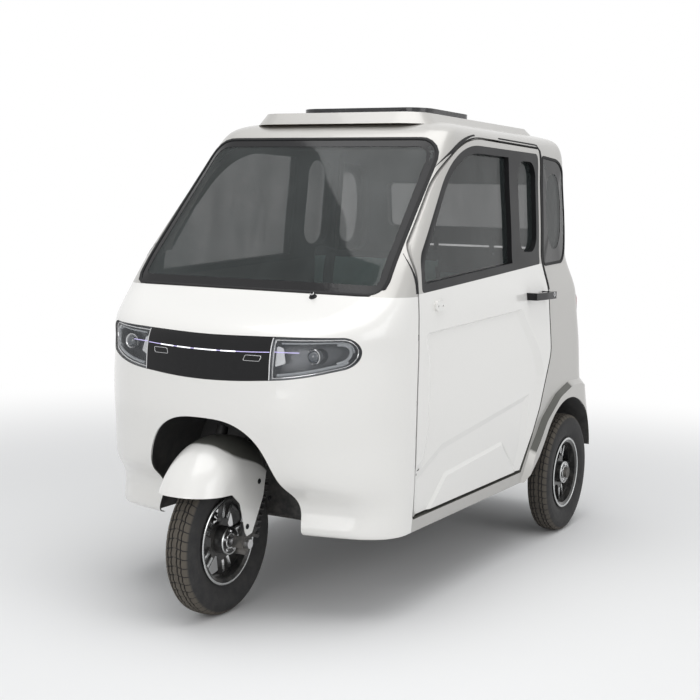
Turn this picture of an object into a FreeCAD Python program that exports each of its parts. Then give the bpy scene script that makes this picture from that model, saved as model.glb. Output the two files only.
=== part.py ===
import FreeCAD, Part
import math
import os
import Sketcher
from FreeCAD import Placement, Rotation, Vector

# Three wheeled cabin car: a closed electric tricycle for a driver and a rear bench of passengers.
# Millimetres, +Z up, +Y towards the tail, +X towards the vehicle's own left side.
# The origin lies on the ground under the middle of the vehicle.
# Places along the car are shares of the wheelbase behind the body's datum, which lies a little
# ahead of the front axle. Heights are shares of the cab's height above the ground, and widths
# are shares of half the body's width.

doc = FreeCAD.newDocument("cabin_tricycle")

# Driving dimensions
SIZES = {
    "wheelbase": 1600, "front_overhang": 206, "rear_overhang": 377, "axle_setback": 25,
    "body_width": 1038, "cab_height": 1527, "wall": 35, "panel_gap": 8.5,
    "track": 980, "tyre_diameter": 456, "tyre_width": 85, "bead_width": 60,
    "rim_diameter": 254, "rim_flange": 10, "flange_thickness": 5, "rim_wall": 9,
    "disc_thickness": 14, "hub_radius": 42, "front_hub_width": 84, "rear_hub_width": 60,
    "arch_radius": 300, "arch_liner_wall": 5, "arch_liner_depth": 118, "arch_lip": 6,
    "flare_reach": 20, "flare_root": 15,
    "rake_angle": 20, "axle_to_fork": 11, "fork_to_steering": 38,
    "fork_radius": 19, "leg_top": 345, "leg_cap_height": 5, "fork_foot": 34, "lug_size": 36,
    "bridge_top": 268, "bridge_height": 30, "bridge_half_depth": 17, "bridge_nose": 22, "bridge_reach": 20,
    "stem_radius": 14, "head_tube_wall": 9, "head_tube_foot": 492, "head_tube_length": 150,
    "bar_height": 780, "bar_radius": 11, "bar_reach": 300, "bar_sweep": 110, "bar_setback": 60,
    "grip_radius": 17, "grip_length": 115, "clamp_size": 44, "running_clearance": 0.05,
    "fender_width": 208, "fender_radius": 248, "fender_wall": 4, "fender_shoulder": 96,
    "fender_hole_room": 2, "fender_hole_foot": 205,
    "axle_radius": 8, "axle_nut_radius": 14, "axle_nut_width": 14, "spacer_radius": 11, "spacer_gap": 1.5,
    "glass_thickness": 5, "glass_inset": 1.5, "glass_flange": 16,
    "liner_wall": 5, "liner_room": 40, "liner_rear": 255,
    "floor_thickness": 18, "floor_bottom": 285, "rail_width": 40, "rail_height": 58, "rail_kick": 104.4,
    "rail_spacing": 500, "cross_tube_radius": 17, "down_tube_radius": 16, "down_tube_spacing": 120,
    "rear_tube_radius": 32, "motor_radius": 92, "motor_width": 190, "drum_radius": 84, "drum_width": 34,
    "rear_shaft_radius": 13, "shaft_nut_radius": 21, "leaf_width": 50, "leaf_thickness": 8,
    "seat_clearance": 0.3, "hinge_pin_radius": 4, "hinge_boss_radius": 6, "hinge_inset": 10,
    "hinge_setback": 15, "hinge_height": 18, "hinge_pin_length": 46, "hinge_plate": 9,
    "hinge_room": 28, "boot_hinge_room": 40, "bump_height": 26, "bump_slope": 30, "bump_rear_slope": 60,
    "hatch_rise": 9, "hatch_thickness": 18, "hatch_setback": 16,
    "hatch_length": 420, "hatch_width": 500, "hatch_corner": 80, "hatch_curb": 60,
    "dash_thickness": 12, "dash_side_room": 64, "cushion_thickness": 110, "backrest_thickness": 90,
    "driver_seat_width": 560, "bench_width": 824, "cushion_round": 30,
    "battery_width": 440, "lamp_depth": 24, "lens_thickness": 4, "projector_radius": 23,
    "projector_length": 30,
    "tail_lamp_rise": 8, "door_recess": 7, "door_fold": 12, "door_ridge": 5,
    "pressing_room": 1,
    "handle_length": 183, "handle_height": 26, "handle_reach": 30, "handle_stand": 14, "cup_radius": 60,
    "cup_depth": 12, "mirror_boss_reach": 3, "mirror_boss_margin": 14, "mirror_boss_round": 14.4,
    "mirror_hole_pitch": 32, "mirror_hole_radius": 3.2, "mirror_hole_depth": 24, "window_rail": 26,
    "vent_round": 60,
}
sheet = doc.addObject("Spreadsheet::Sheet", "sizes")
for row, (alias, value) in enumerate(SIZES.items(), start=1):
    sheet.set(f"A{row}", alias)
    sheet.set(f"B{row}", str(value))
    sheet.setAlias(f"B{row}", alias)
doc.recompute()


def size(alias):
    """The number in the sheet's cell of that name."""
    return float(sheet.get(alias))


WHEELBASE = size("wheelbase")
HALF_WIDTH = size("body_width") / 2
CAB_HEIGHT = size("cab_height")
WALL = size("wall")
GAP = size("panel_gap")
CLEAR = size("seat_clearance")
TYRE_RADIUS = size("tyre_diameter") / 2
DATUM = (size("front_overhang") - WHEELBASE - size("rear_overhang")) / 2
FRONT_AXLE = DATUM + size("axle_setback")
REAR_AXLE = FRONT_AXLE + WHEELBASE
RAKE = math.radians(size("rake_angle"))
STEER_OFFSET = size("axle_to_fork") + size("fork_to_steering")
FAR = WHEELBASE + CAB_HEIGHT


def along(share):
    """Place along the car: a share of the wheelbase behind the datum."""
    return DATUM + share * WHEELBASE


def up(share):
    """Height: a share of the cab's height above the ground."""
    return share * CAB_HEIGHT


def out(share):
    """Place across the car: a share of half the body width from the middle."""
    return share * HALF_WIDTH


def side_points(shares):
    """Points of a side view from pairs of shares: along the car and up."""
    return [(along(y), up(z)) for y, z in shares]


# Outlines and prisms
def lift(plane, a, b, level=0.0):
    """The point a, b of a drawing plane named by its two axes."""
    return {"YZ": Vector(level, a, b), "XZ": Vector(a, level, b), "XY": Vector(a, b, level)}[plane]


def outline(points, plane, radii=0.0, level=0.0):
    """Closed wire through points, each corner rounded by an arc."""
    count = len(points)
    if not isinstance(radii, (list, tuple)):
        radii = [radii] * count
    corners = [lift(plane, a, b, level) for a, b in points]
    arcs, starts, ends = [], [], []
    for i, corner in enumerate(corners):
        before = (corners[i - 1] - corner).normalize()
        after = (corners[(i + 1) % count] - corner).normalize()
        half_angle = before.getAngle(after) / 2
        if radii[i] <= 0:
            starts.append(corner)
            ends.append(corner)
            arcs.append(None)
            continue
        reach = radii[i] / math.tan(half_angle)
        start, end = corner + before * reach, corner + after * reach
        middle_way = (before + after).normalize()
        middle = corner + middle_way * (radii[i] / math.sin(half_angle) - radii[i])
        starts.append(start)
        ends.append(end)
        arcs.append(Part.Arc(start, middle, end).toShape())
    loop = []
    for i in range(count):
        if arcs[i] is not None:
            loop.append(arcs[i])
        following = starts[(i + 1) % count]
        if ends[i].distanceToPoint(following) > CLEAR:
            loop.append(Part.LineSegment(ends[i], following).toShape())
    return Part.Wire(loop)


def smooth_curve(points, plane, closed, level=0.0):
    """Smooth curve through points, as two edges that meet halfway."""
    curve = Part.BSplineCurve()
    curve.interpolate([lift(plane, a, b, level) for a, b in points], closed)
    start, end = curve.FirstParameter, curve.LastParameter
    middle = (start + end) / 2
    return [curve.toShape(start, middle), curve.toShape(middle, end)]


def moved_in(wire, distance):
    """The wire moved inwards by a distance in its own plane, or outwards if it is negative."""
    return wire.makeOffset2D(-distance)


def side_prism(wire, start=0.0, end=None):
    """Solid from an outline drawn in side view, between two places across the car."""
    end = FAR if end is None else end
    moved = wire.copy()
    moved.translate(Vector(start, 0, 0))
    return Part.Face(moved).extrude(Vector(end - start, 0, 0))


def front_prism(wire, start, end):
    """Solid from an outline drawn in front view, between two places along the car."""
    moved = wire.copy()
    moved.translate(Vector(0, start, 0))
    return Part.Face(moved).extrude(Vector(0, end - start, 0))


def top_prism(wire, start, end):
    """Solid from an outline drawn in plan, between two heights."""
    moved = wire.copy()
    moved.translate(Vector(0, 0, start))
    return Part.Face(moved).extrude(Vector(0, 0, end - start))


def block(low, high):
    """Box between two opposite corners."""
    return Part.makeBox(high[0] - low[0], high[1] - low[1], high[2] - low[2], Vector(*low))


def across(shape):
    """The mirror image of a left-hand shape."""
    return shape.mirror(Vector(), Vector(1, 0, 0))


def both_sides(shape):
    """The shape and its mirror image across the car's middle."""
    return Part.Compound([shape, across(shape)])


sub_parts = []


def keep(label, shape):
    """Store a finished sub-part's shape under its label."""
    solids = shape.Solids
    feature = doc.addObject("Part::Feature", label)
    feature.Label = label
    feature.Shape = solids[0] if len(solids) == 1 else Part.Compound(solids)
    sub_parts.append(feature)
    return feature


def keep_object(item):
    """List a document object that is itself a finished sub-part."""
    sub_parts.append(item)
    return item


# Document objects bound to the sheet
DATUM_TEXT = "((sizes.front_overhang - sizes.wheelbase - sizes.rear_overhang) / 2)"


def x_at(share):
    """Expression of a place across the car."""
    return f"({share} * sizes.body_width / 2)"


def y_at(share):
    """Expression of a place along the car."""
    return f"({DATUM_TEXT} + {share} * sizes.wheelbase)"


def z_at(share):
    """Expression of a height."""
    return f"({share} * sizes.cab_height)"


def bind(item, **expressions):
    """Bind properties of an object to expressions of the sheet's cells."""
    for name, text in expressions.items():
        item.setExpression(name.replace("__", "."), text)
    return item


def place_by(item, x="0", y="0", z="0"):
    """Bind an object's place to three expressions."""
    return bind(item, Placement__Base__x=x, Placement__Base__y=y, Placement__Base__z=z)


def origin_plane(body, role):
    """One of a body's own origin planes."""
    return next(item for item in body.Origin.OriginFeatures if item.Role == role)


def sketch(body, name, role, corners):
    """Closed outline of straight runs whose corners are bound to pairs of expressions."""
    drawing = body.newObject("Sketcher::SketchObject", name)
    drawing.AttachmentSupport = [(origin_plane(body, role), "")]
    drawing.MapMode = "FlatFace"
    count = len(corners)
    turns = [2 * math.pi * i / count for i in range(count)]
    ring = [Vector(math.cos(turn), math.sin(turn), 0) * WALL for turn in turns]
    for i in range(count):
        drawing.addGeometry(Part.LineSegment(ring[i], ring[(i + 1) % count]), False)
    for i in range(count):
        drawing.addConstraint(Sketcher.Constraint("Coincident", i, 2, (i + 1) % count, 1))
    for i, (across_text, up_text) in enumerate(corners):
        for kind, value, text in (("DistanceX", ring[i].x, across_text), ("DistanceY", ring[i].y, up_text)):
            number = drawing.addConstraint(Sketcher.Constraint(kind, -1, 1, i, 1, value))
            drawing.setExpression(f"Constraints[{number}]", text)
    drawing.Visibility = False
    return drawing


def new_body(label):
    """A new body that is one sub-part, or an ingredient of one."""
    body = doc.addObject("PartDesign::Body", label)
    body.Label = label
    return body


def pad(body, drawing, length_text, symmetric=True):
    """Pad a sketch by an expression of the sheet."""
    feature = body.newObject("PartDesign::Pad", f"{drawing.Name}_pad")
    feature.Profile = drawing
    feature.Midplane = symmetric
    feature.setExpression("Length", length_text)
    body.Tip = feature
    return feature


def turn(body, drawing, axis="H_Axis"):
    """Revolve a sketch about one of its own axes."""
    feature = body.newObject("PartDesign::Revolution", f"{drawing.Name}_turn")
    feature.Profile = drawing
    feature.ReferenceAxis = (drawing, [axis])
    feature.Angle = 360
    body.Tip = feature
    return feature


# The body's outer form: level sections, each a box with rounded corners in plan
# Height, half width, half width at the tail, nose, nose corner radius, nose bow radius, tail, tail corner
# radius, then how far a wall's inset goes back at the nose, down, inwards and ahead at the tail
SECTION_SHARES = [
    (0.1716, 0.985, 0.985, 0.0450, 0.270, 2.60, 1.2280, 0.231, 1.10, 0.0, 1.0, 1.0),
    (0.2161, 0.994, 0.994, 0.0363, 0.318, 2.60, 1.2355, 0.241, 1.15, 0.0, 1.0, 1.0),
    (0.2475, 0.998, 0.998, 0.0250, 0.360, 2.60, 1.2255, 0.246, 1.20, 0.0, 1.0, 1.0),
    (0.2750, 1.000, 1.000, -0.0088, 0.501, 2.60, 1.2145, 0.250, 1.15, 0.0, 1.0, 1.0),
    (0.3471, 1.000, 1.000, -0.0388, 0.645, 2.60, 1.1880, 0.250, 1.05, 0.0, 1.0, 1.0),
    (0.3995, 1.000, 1.000, -0.0481, 0.674, 2.60, 1.1720, 0.241, 1.00, 0.0, 1.0, 1.0),
    (0.4813, 1.000, 0.997, -0.0450, 0.649, 2.60, 1.1580, 0.231, 1.00, 0.0, 1.0, 1.0),
    (0.5403, 1.000, 0.979, -0.0400, 0.636, 2.60, 1.1540, 0.222, 1.00, 0.0, 1.0, 1.0),
    (0.5665, 0.998, 0.971, -0.0288, 0.559, 2.60, 1.1525, 0.218, 1.20, 0.0, 1.0, 1.0),
    (0.5960, 0.996, 0.963, 0.0138, 0.439, 4.05, 1.1505, 0.214, 1.60, 0.0, 1.0, 1.0),
    (0.6418, 0.987, 0.932, 0.1050, 0.222, 40.0, 1.1445, 0.208, 1.60, 0.0, 1.0, 1.0),
    (0.6942, 0.971, 0.880, 0.1500, 0.183, 40.0, 1.1330, 0.200, 1.35, 0.0, 1.0, 1.0),
    (0.7328, 0.956, 0.873, 0.1831, 0.170, 40.0, 1.1235, 0.193, 1.35, 0.0, 1.0, 1.0),
    (0.8186, 0.917, 0.866, 0.2569, 0.158, 40.0, 1.1130, 0.189, 1.35, 0.0, 1.0, 1.0),
    (0.8985, 0.882, 0.858, 0.3256, 0.150, 40.0, 1.1015, 0.185, 1.35, 0.0, 1.0, 1.0),
    (0.9496, 0.859, 0.850, 0.3694, 0.145, 40.0, 1.0975, 0.181, 1.35, 0.0, 1.0, 1.0),
    (0.9745, 0.832, 0.824, 0.3950, 0.145, 40.0, 1.0915, 0.170, 1.00, 0.6, 0.8, 0.9),
    (0.9889, 0.780, 0.775, 0.4250, 0.145, 40.0, 1.0860, 0.158, 0.60, 0.9, 0.4, 0.8),
    (0.9967, 0.703, 0.700, 0.4594, 0.135, 40.0, 1.0740, 0.146, 0.20, 1.0, 0.1, 0.7),
    (1.0000, 0.617, 0.616, 0.4938, 0.116, 40.0, 1.0540, 0.130, 0.00, 1.0, 0.0, 0.5),
]
TAIL_BOW_SHARE = 8.0


def corner_circle(half_width, end_place, bow, radius, sign):
    """Centre of the corner between a bowed end and a side, and where it touches the end's arc.

    sign is 1 at the nose, whose bow has its centre behind it, and -1 at the tail.
    """
    centre_x = half_width - radius
    bow_centre = end_place + sign * bow
    centre_y = bow_centre - sign * math.sqrt((bow - radius) ** 2 - centre_x ** 2)
    reach = bow / (bow - radius)
    touch = Vector(centre_x * reach, bow_centre + (centre_y - bow_centre) * reach, 0)
    return Vector(centre_x, centre_y, 0), touch


def section_wire(height, half_width, tail_half_width, nose, nose_radius, nose_bow, tail, tail_radius):
    """One level section of the body as eight edges, round from the left of the nose."""
    front, front_touch = corner_circle(half_width, nose, nose_bow, nose_radius, 1)
    rear, rear_touch = corner_circle(tail_half_width, tail, out(TAIL_BOW_SHARE), tail_radius, -1)
    run = rear - front
    slope = (nose_radius - tail_radius) / run.Length
    ahead = run.normalize()
    sideways = Vector(ahead.y, -ahead.x, 0)
    normal = ahead * slope + sideways * math.sqrt(1 - slope ** 2)
    front_side = front + normal * nose_radius
    rear_side = rear + normal * tail_radius

    def bulge(centre, radius, start, end):
        way = (start - centre).normalize() + (end - centre).normalize()
        return centre + way.normalize() * radius

    front_middle = bulge(front, nose_radius, front_touch, front_side)
    rear_middle = bulge(rear, tail_radius, rear_touch, rear_side)

    def at(point, mirror=1):
        return Vector(mirror * point.x, point.y, height)

    edges = [
        Part.Arc(at(front_touch, -1), Vector(0, nose, height), at(front_touch)).toShape(),
        Part.Arc(at(front_touch), at(front_middle), at(front_side)).toShape(),
        Part.LineSegment(at(front_side), at(rear_side)).toShape(),
        Part.Arc(at(rear_side), at(rear_middle), at(rear_touch)).toShape(),
        Part.Arc(at(rear_touch), Vector(0, tail, height), at(rear_touch, -1)).toShape(),
        Part.Arc(at(rear_touch, -1), at(rear_middle, -1), at(rear_side, -1)).toShape(),
        Part.LineSegment(at(rear_side, -1), at(front_side, -1)).toShape(),
        Part.Arc(at(front_side, -1), at(front_middle, -1), at(front_touch, -1)).toShape(),
    ]
    return Part.Wire(edges)


NOSE_TOP_SHARE = 0.6405
ROOF_SEAM_SHARE = 0.9745
body_forms = {}


def body_form(inset):
    """Solid inside the body's outer surface, moved in by an inset."""
    if inset not in body_forms:
        wires = []
        for row in SECTION_SHARES:
            height, width, tail_width, nose, nose_corner, nose_bow, tail, tail_corner = row[:8]
            back, down, inwards, ahead = row[8:]
            wires.append(section_wire(
                up(height) - down * inset,
                out(width) - inwards * inset,
                out(tail_width) - inwards * inset,
                along(nose) + back * inset,
                out(nose_corner) - inwards * inset,
                out(nose_bow) - inwards * inset,
                along(tail) - ahead * inset,
                out(tail_corner) - inwards * inset,
            ))
        body_forms[inset] = Part.makeLoft(wires, True, False)
    return body_forms[inset]


def skin(outer_inset, inner_inset):
    """The body's wall between two insets."""
    return body_form(outer_inset).cut(body_form(inner_inset))


wall_shell = skin(0.0, WALL)
GLASS_INNER = size("glass_inset") + size("glass_thickness")
glass_skin = skin(size("glass_inset"), GLASS_INNER)
outside_flange = block((-FAR, -FAR, 0), (FAR, FAR, FAR)).cut(body_form(GLASS_INNER + CLEAR))

# Door opening, in side view
DOOR_SHARES = [(0.1875, 0.1978), (0.1875, 0.7256), (0.4100, 0.9712), (0.895, 0.9660),
               (0.895, 0.4682), (0.8350, 0.3405), (0.7350, 0.1978)]
DOOR_ROUND_SHARES = [0.008, 0.080, 0.380, 0.012, 0.075, 0.05, 0.006]
DOOR_DEPTH_SHARE = 0.78
door_opening = outline(side_points(DOOR_SHARES), "YZ", [up(share) for share in DOOR_ROUND_SHARES])
door_edge = moved_in(door_opening, GAP)
door_depth = out(DOOR_DEPTH_SHARE)
front_of_door = along(DOOR_SHARES[0][0])
rear_of_door = along(DOOR_SHARES[3][0])
BODY_BOTTOM = up(SECTION_SHARES[0][0])

# Belt line of the door, rising towards the tail, and level seams of the cab
BELT_SHARES = [(0.10, 0.6395), (1.40, 0.7150)]
belt_points = side_points(BELT_SHARES)
above_belt_wire = outline(belt_points + [(belt_points[1][0], FAR), (belt_points[0][0], FAR)], "YZ")
above_belt = side_prism(above_belt_wire, -FAR, FAR)

door_hole = side_prism(door_opening, door_depth)

# Nose
ARCH_SHARES = [(0.512, 0.150), (0.494, 0.209), (0.459, 0.266), (0.409, 0.320), (0.324, 0.368),
               (0.193, 0.395),
               (0.0, 0.402)]


def arch_wire(grow=0.0):
    """Front wheel's opening in front view, widened by a length and closed along its foot."""
    foot_x, foot_z = ARCH_SHARES[0]
    top_z = ARCH_SHARES[-1][1]
    wider = 1 + grow / out(foot_x)
    higher = 1 + grow / up(top_z - foot_z)
    half = [(out(x) * wider, up(foot_z) + up(z - foot_z) * higher) for x, z in ARCH_SHARES]
    curve = smooth_curve(half + [(-x, z) for x, z in reversed(half[:-1])], "XZ", False)
    foot_start, foot_end = Vector(-half[0][0], 0, half[0][1]), Vector(half[0][0], 0, half[0][1])
    return Part.Wire(curve + [Part.LineSegment(foot_start, foot_end).toShape()])


LAMP_BAND_SHARES = [(0.0, 0.5625), (0.875, 0.5691), (0.8555, 0.5134), (0.578, 0.4879), (0.0, 0.4722)]
LAMP_ROUND_SHARES = [2.0, 0.0275, 0.0327, 0.52, 1.3]
LAMP_SPLIT_SHARE = 0.424
LAMP_EYE_SHARES = (0.63, 0.5298)


def lamp_band(shrink=0.0):
    """Headlamp band in front view, both sides alike, made smaller all round by a length."""
    right = [(out(x), up(z)) for x, z in LAMP_BAND_SHARES]
    rounds = [up(share) for share in LAMP_ROUND_SHARES]
    points = right + [(-x, z) for x, z in reversed(right[1:-1])]
    wire = outline(points, "XZ", rounds + rounds[-2:0:-1])
    return moved_in(wire, shrink) if shrink else wire


nose_zone = block((-FAR, -FAR, BODY_BOTTOM), (FAR, front_of_door, up(NOSE_TOP_SHARE)))
arch_lip = size("arch_lip")
liner_room = size("liner_room")
liner_rear = FRONT_AXLE + size("liner_rear")
arch_hole = front_prism(arch_wire(), -FAR, front_of_door)
arch_recess = front_prism(arch_wire(liner_room + CLEAR), -FAR, liner_rear + CLEAR)
arch_recess = arch_recess.common(body_form(arch_lip))
lamp_hole = front_prism(lamp_band(), -FAR, front_of_door)
nose = wall_shell.common(nose_zone).cut([arch_hole, arch_recess, lamp_hole])
keep("nose_panel", nose)

lamp_split = out(LAMP_SPLIT_SHARE)
lens_wall = size("lens_thickness")
band_prism = front_prism(lamp_band(CLEAR), -FAR, front_of_door)
bowl_prism = front_prism(lamp_band(CLEAR + lens_wall), -FAR, front_of_door)
LENS_INNER = size("glass_inset") + lens_wall
LAMP_BACK = WALL + size("lamp_depth")
middle_band = block((-lamp_split, -FAR, 0), (lamp_split, FAR, FAR))


def side_bands(room):
    """Space of both headlamps beside the garnish, less a room at their inner ends."""
    return both_sides(block((lamp_split + room, -FAR, 0), (FAR, FAR, FAR)))


eye_x, eye_z = out(LAMP_EYE_SHARES[0]), up(LAMP_EYE_SHARES[1])
lamp_bowl = skin(LENS_INNER + CLEAR, LAMP_BACK).common(band_prism).common(side_bands(CLEAR))
lamp_hollow = skin(0.0, LAMP_BACK - lens_wall).common(bowl_prism).common(side_bands(CLEAR + lens_wall))
projector = Part.makeCylinder(size("projector_radius"), WALL + LAMP_BACK, Vector(eye_x, DATUM - WALL, eye_z),
                              Vector(0, 1, 0))
projector = projector.common(skin(LAMP_BACK - size("projector_length"), LAMP_BACK))
keep("front_garnish", skin(size("glass_inset"), WALL).common(band_prism).common(middle_band))
keep("headlamp_lenses", skin(size("glass_inset"), LENS_INNER).common(band_prism).common(side_bands(CLEAR)))
keep("headlamp_housings", lamp_bowl.cut(lamp_hollow).fuse([projector, across(projector)]))

# Windscreen and the cab's upper frame
SCREEN_SHARES = [(0.873, 0.6440), (0.822, 0.9560)]


def screen_wire(grow=0.0):
    """Windscreen's edge in front view."""
    low, high = SCREEN_SHARES
    points = [(-out(low[0]), up(low[1])), (out(low[0]), up(low[1])),
              (out(high[0]), up(high[1])), (-out(high[0]), up(high[1]))]
    rounds = [WALL, WALL, 2 * WALL, 2 * WALL]
    wire = outline(points, "XZ", rounds)
    return moved_in(wire, -grow) if grow else wire


screen_end = along(DOOR_SHARES[2][0])
screen_rebate = front_prism(screen_wire(CLEAR), -FAR, screen_end).common(outside_flange)
screen_hole = front_prism(screen_wire(-size("glass_flange")), -FAR, screen_end)
keep("windscreen", glass_skin.common(front_prism(screen_wire(), -FAR, screen_end)))

cab_zone = block((-FAR, -FAR, up(NOSE_TOP_SHARE)), (FAR, rear_of_door, up(ROOF_SEAM_SHARE)))
cab_frame = wall_shell.common(cab_zone).cut([door_hole, across(door_hole), screen_rebate, screen_hole])
keep("cab_frame", cab_frame)

# Roof with its raised middle and the hatch opening
BUMP_SHARES = (0.60, 0.425, 1.038)
bump_width, bump_front, bump_rear = out(BUMP_SHARES[0]), along(BUMP_SHARES[1]), along(BUMP_SHARES[2])
BUMP_TOP = CAB_HEIGHT + size("bump_height")


def plan_box(half_width, front, rear, corner, height):
    """Rounded rectangle in plan."""
    points = [(-half_width, front), (half_width, front), (half_width, rear), (-half_width, rear)]
    return outline(points, "XY", corner, height)


bump_slope = size("bump_slope")
bump_corner = size("hatch_corner")
bump = Part.makeLoft([
    plan_box(bump_width + bump_slope, bump_front - bump_slope, bump_rear + size("bump_rear_slope"),
             bump_corner + bump_slope, CAB_HEIGHT - size("bump_height") / 2),
    plan_box(bump_width, bump_front, bump_rear, bump_corner, BUMP_TOP),
], True, True)
HATCH_SHARE = 0.522
hatch_front = along(HATCH_SHARE)
hatch_rear = hatch_front + size("hatch_length")
hatch_half = size("hatch_width") / 2
curb = size("hatch_curb")
hatch_wire = plan_box(hatch_half - curb, hatch_front + curb, hatch_rear - curb, bump_corner / 2, 0)
hatch_hole = top_prism(hatch_wire,
                       up(ROOF_SEAM_SHARE) - WALL, FAR)
roof_zone = block((-FAR, -FAR, up(ROOF_SEAM_SHARE)), (FAR, FAR, FAR))
roof = wall_shell.common(roof_zone).fuse(bump).cut(hatch_hole).removeSplitter()
keep("roof_panel", roof)

hatch_bottom = BUMP_TOP + size("hatch_rise")
hatch_plate = top_prism(plan_box(hatch_half, hatch_front, hatch_rear, bump_corner, 0), hatch_bottom,
                        hatch_bottom + size("hatch_thickness"))
hinge_radius = size("hinge_boss_radius")
hatch_pivot = Vector(0, hatch_front + size("hatch_setback"), hatch_bottom + hinge_radius)
ear_half = size("hinge_height") / 2
ear_places = [hatch_half - bump_corner, bump_corner - hatch_half]


def hatch_cut(place):
    """Room in the hatch's underside for one hinge ear of the roof."""
    room = 2 * hinge_radius
    return block((place - ear_half - CLEAR, hatch_pivot.y - room, hatch_bottom),
                 (place + ear_half + CLEAR, hatch_pivot.y + room, hatch_pivot.z + hinge_radius + CLEAR))


def cross_pin(place, radius, length):
    """Pin or bore along X at the hatch's pivot."""
    start = Vector(place - length / 2, hatch_pivot.y, hatch_pivot.z)
    return Part.makeCylinder(radius, length, start, Vector(1, 0, 0))


pin_radius = size("hinge_pin_radius")
pin_length = size("hinge_pin_length")
hatch = hatch_plate.cut([hatch_cut(place) for place in ear_places])
hatch = hatch.cut([cross_pin(place, pin_radius + CLEAR, pin_length + 2 * CLEAR) for place in ear_places])
keep("roof_hatch", hatch)

hatch_ears = []
for place in ear_places:
    ear = block((place - ear_half, hatch_pivot.y - hinge_radius, BUMP_TOP),
                (place + ear_half, hatch_pivot.y + hinge_radius, hatch_pivot.z))
    ear = ear.fuse([cross_pin(place, hinge_radius, 2 * ear_half), cross_pin(place, pin_radius, pin_length)])
    hatch_ears.append(ear)

# Rear body: quarters, tail wall and the sills under the doors
rear_zone = block((-FAR, rear_of_door, BODY_BOTTOM), (FAR, FAR, up(ROOF_SEAM_SHARE)))
sill_zone = block((-FAR, front_of_door, BODY_BOTTOM), (FAR, rear_of_door, up(NOSE_TOP_SHARE)))
ARCH_CENTRE = Vector(0, along(1.0), TYRE_RADIUS)


def wheel_disc(radius, start, end):
    """Cylinder about the rear arches' centre line between two places across the car."""
    return Part.makeCylinder(radius, end - start, ARCH_CENTRE + Vector(start, 0, 0), Vector(1, 0, 0))


QUARTER_SHARES = [(0.9045, 0.6825), (0.9045, 0.9430), (1.0450, 0.9352), (1.0725, 0.7793), (1.0563, 0.6876)]
QUARTER_ROUND_SHARES = [0.0065, 0.0098, 0.0720, 0.0982, 0.0458]


def quarter_wire(grow=0.0):
    """Quarter window's edge in side view: straight in front and round behind."""
    wire = outline(side_points(QUARTER_SHARES), "YZ", [up(share) for share in QUARTER_ROUND_SHARES])
    return moved_in(wire, -grow) if grow else wire


REAR_SCREEN_SHARES = (0.70, 0.7530, 0.8930)
BOOT_SHARES = (0.62, 0.4300, 0.7180)


def tail_wire(shares, grow, corner):
    """Rounded opening in the tail wall, in rear view."""
    half, low, high = out(shares[0]) + grow, up(shares[1]) - grow, up(shares[2]) + grow
    return outline([(-half, low), (half, low), (half, high), (-half, high)], "XZ", corner + grow)


tail_start, tail_end = along(1.0), FAR
flange = size("glass_flange")
corner = size("hatch_corner") / 2
quarter_rebate = side_prism(quarter_wire(CLEAR), WALL).common(outside_flange)
quarter_hole = side_prism(quarter_wire(-flange), WALL)
rear_rebate = front_prism(tail_wire(REAR_SCREEN_SHARES, CLEAR, corner), tail_start, tail_end)
rear_rebate = rear_rebate.common(outside_flange)
rear_hole = front_prism(tail_wire(REAR_SCREEN_SHARES, -flange, corner), tail_start, tail_end)
boot_hole = front_prism(tail_wire(BOOT_SHARES, 0, corner), tail_start, tail_end)
arch_radius = size("arch_radius")
flare_reach = size("flare_reach")

# Side views of the rear flare: its crest, its root on the body, and the foot of the arch ahead of the wheel
FLARE_CREST_SHARES = [(0.7594, 0.157), (0.7925, 0.238), (0.8550, 0.305), (0.9375, 0.354), (1.0213, 0.375),
                      (1.1025, 0.372), (1.1638, 0.321), (1.2031, 0.216), (1.2063, 0.157)]
FLARE_ROOT_SHARES = [(0.7188, 0.157), (0.7750, 0.2515), (0.8425, 0.321), (0.9325, 0.371), (1.0213, 0.3936),
                     (1.1125, 0.3916), (1.1863, 0.335), (1.2344, 0.216), (1.2406, 0.157)]
FLARE_ROUND_SHARES = [0.0, 0.052, 0.079, 0.098, 0.098, 0.079, 0.065, 0.039, 0.0]
ARCH_FOOT_SHARES = [(0.7469, 0.098), (0.7469, 0.1716), (0.8125, 0.2240), (0.8750, 0.2960), (0.8750, 0.098)]
TAIL_FOOT_SHARES = (1.1700, 0.1965)


def bevelled(low_shares, high_shares, rounds, low_x, high_x):
    """Form with sloping sides between two outlines in side view, at two places across the car."""
    radii = [up(share) for share in rounds]
    wires = [outline(side_points(shares), "YZ", radii, level)
             for shares, level in ((low_shares, low_x), (high_shares, high_x))]
    return Part.makeLoft(wires, True, True)


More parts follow.
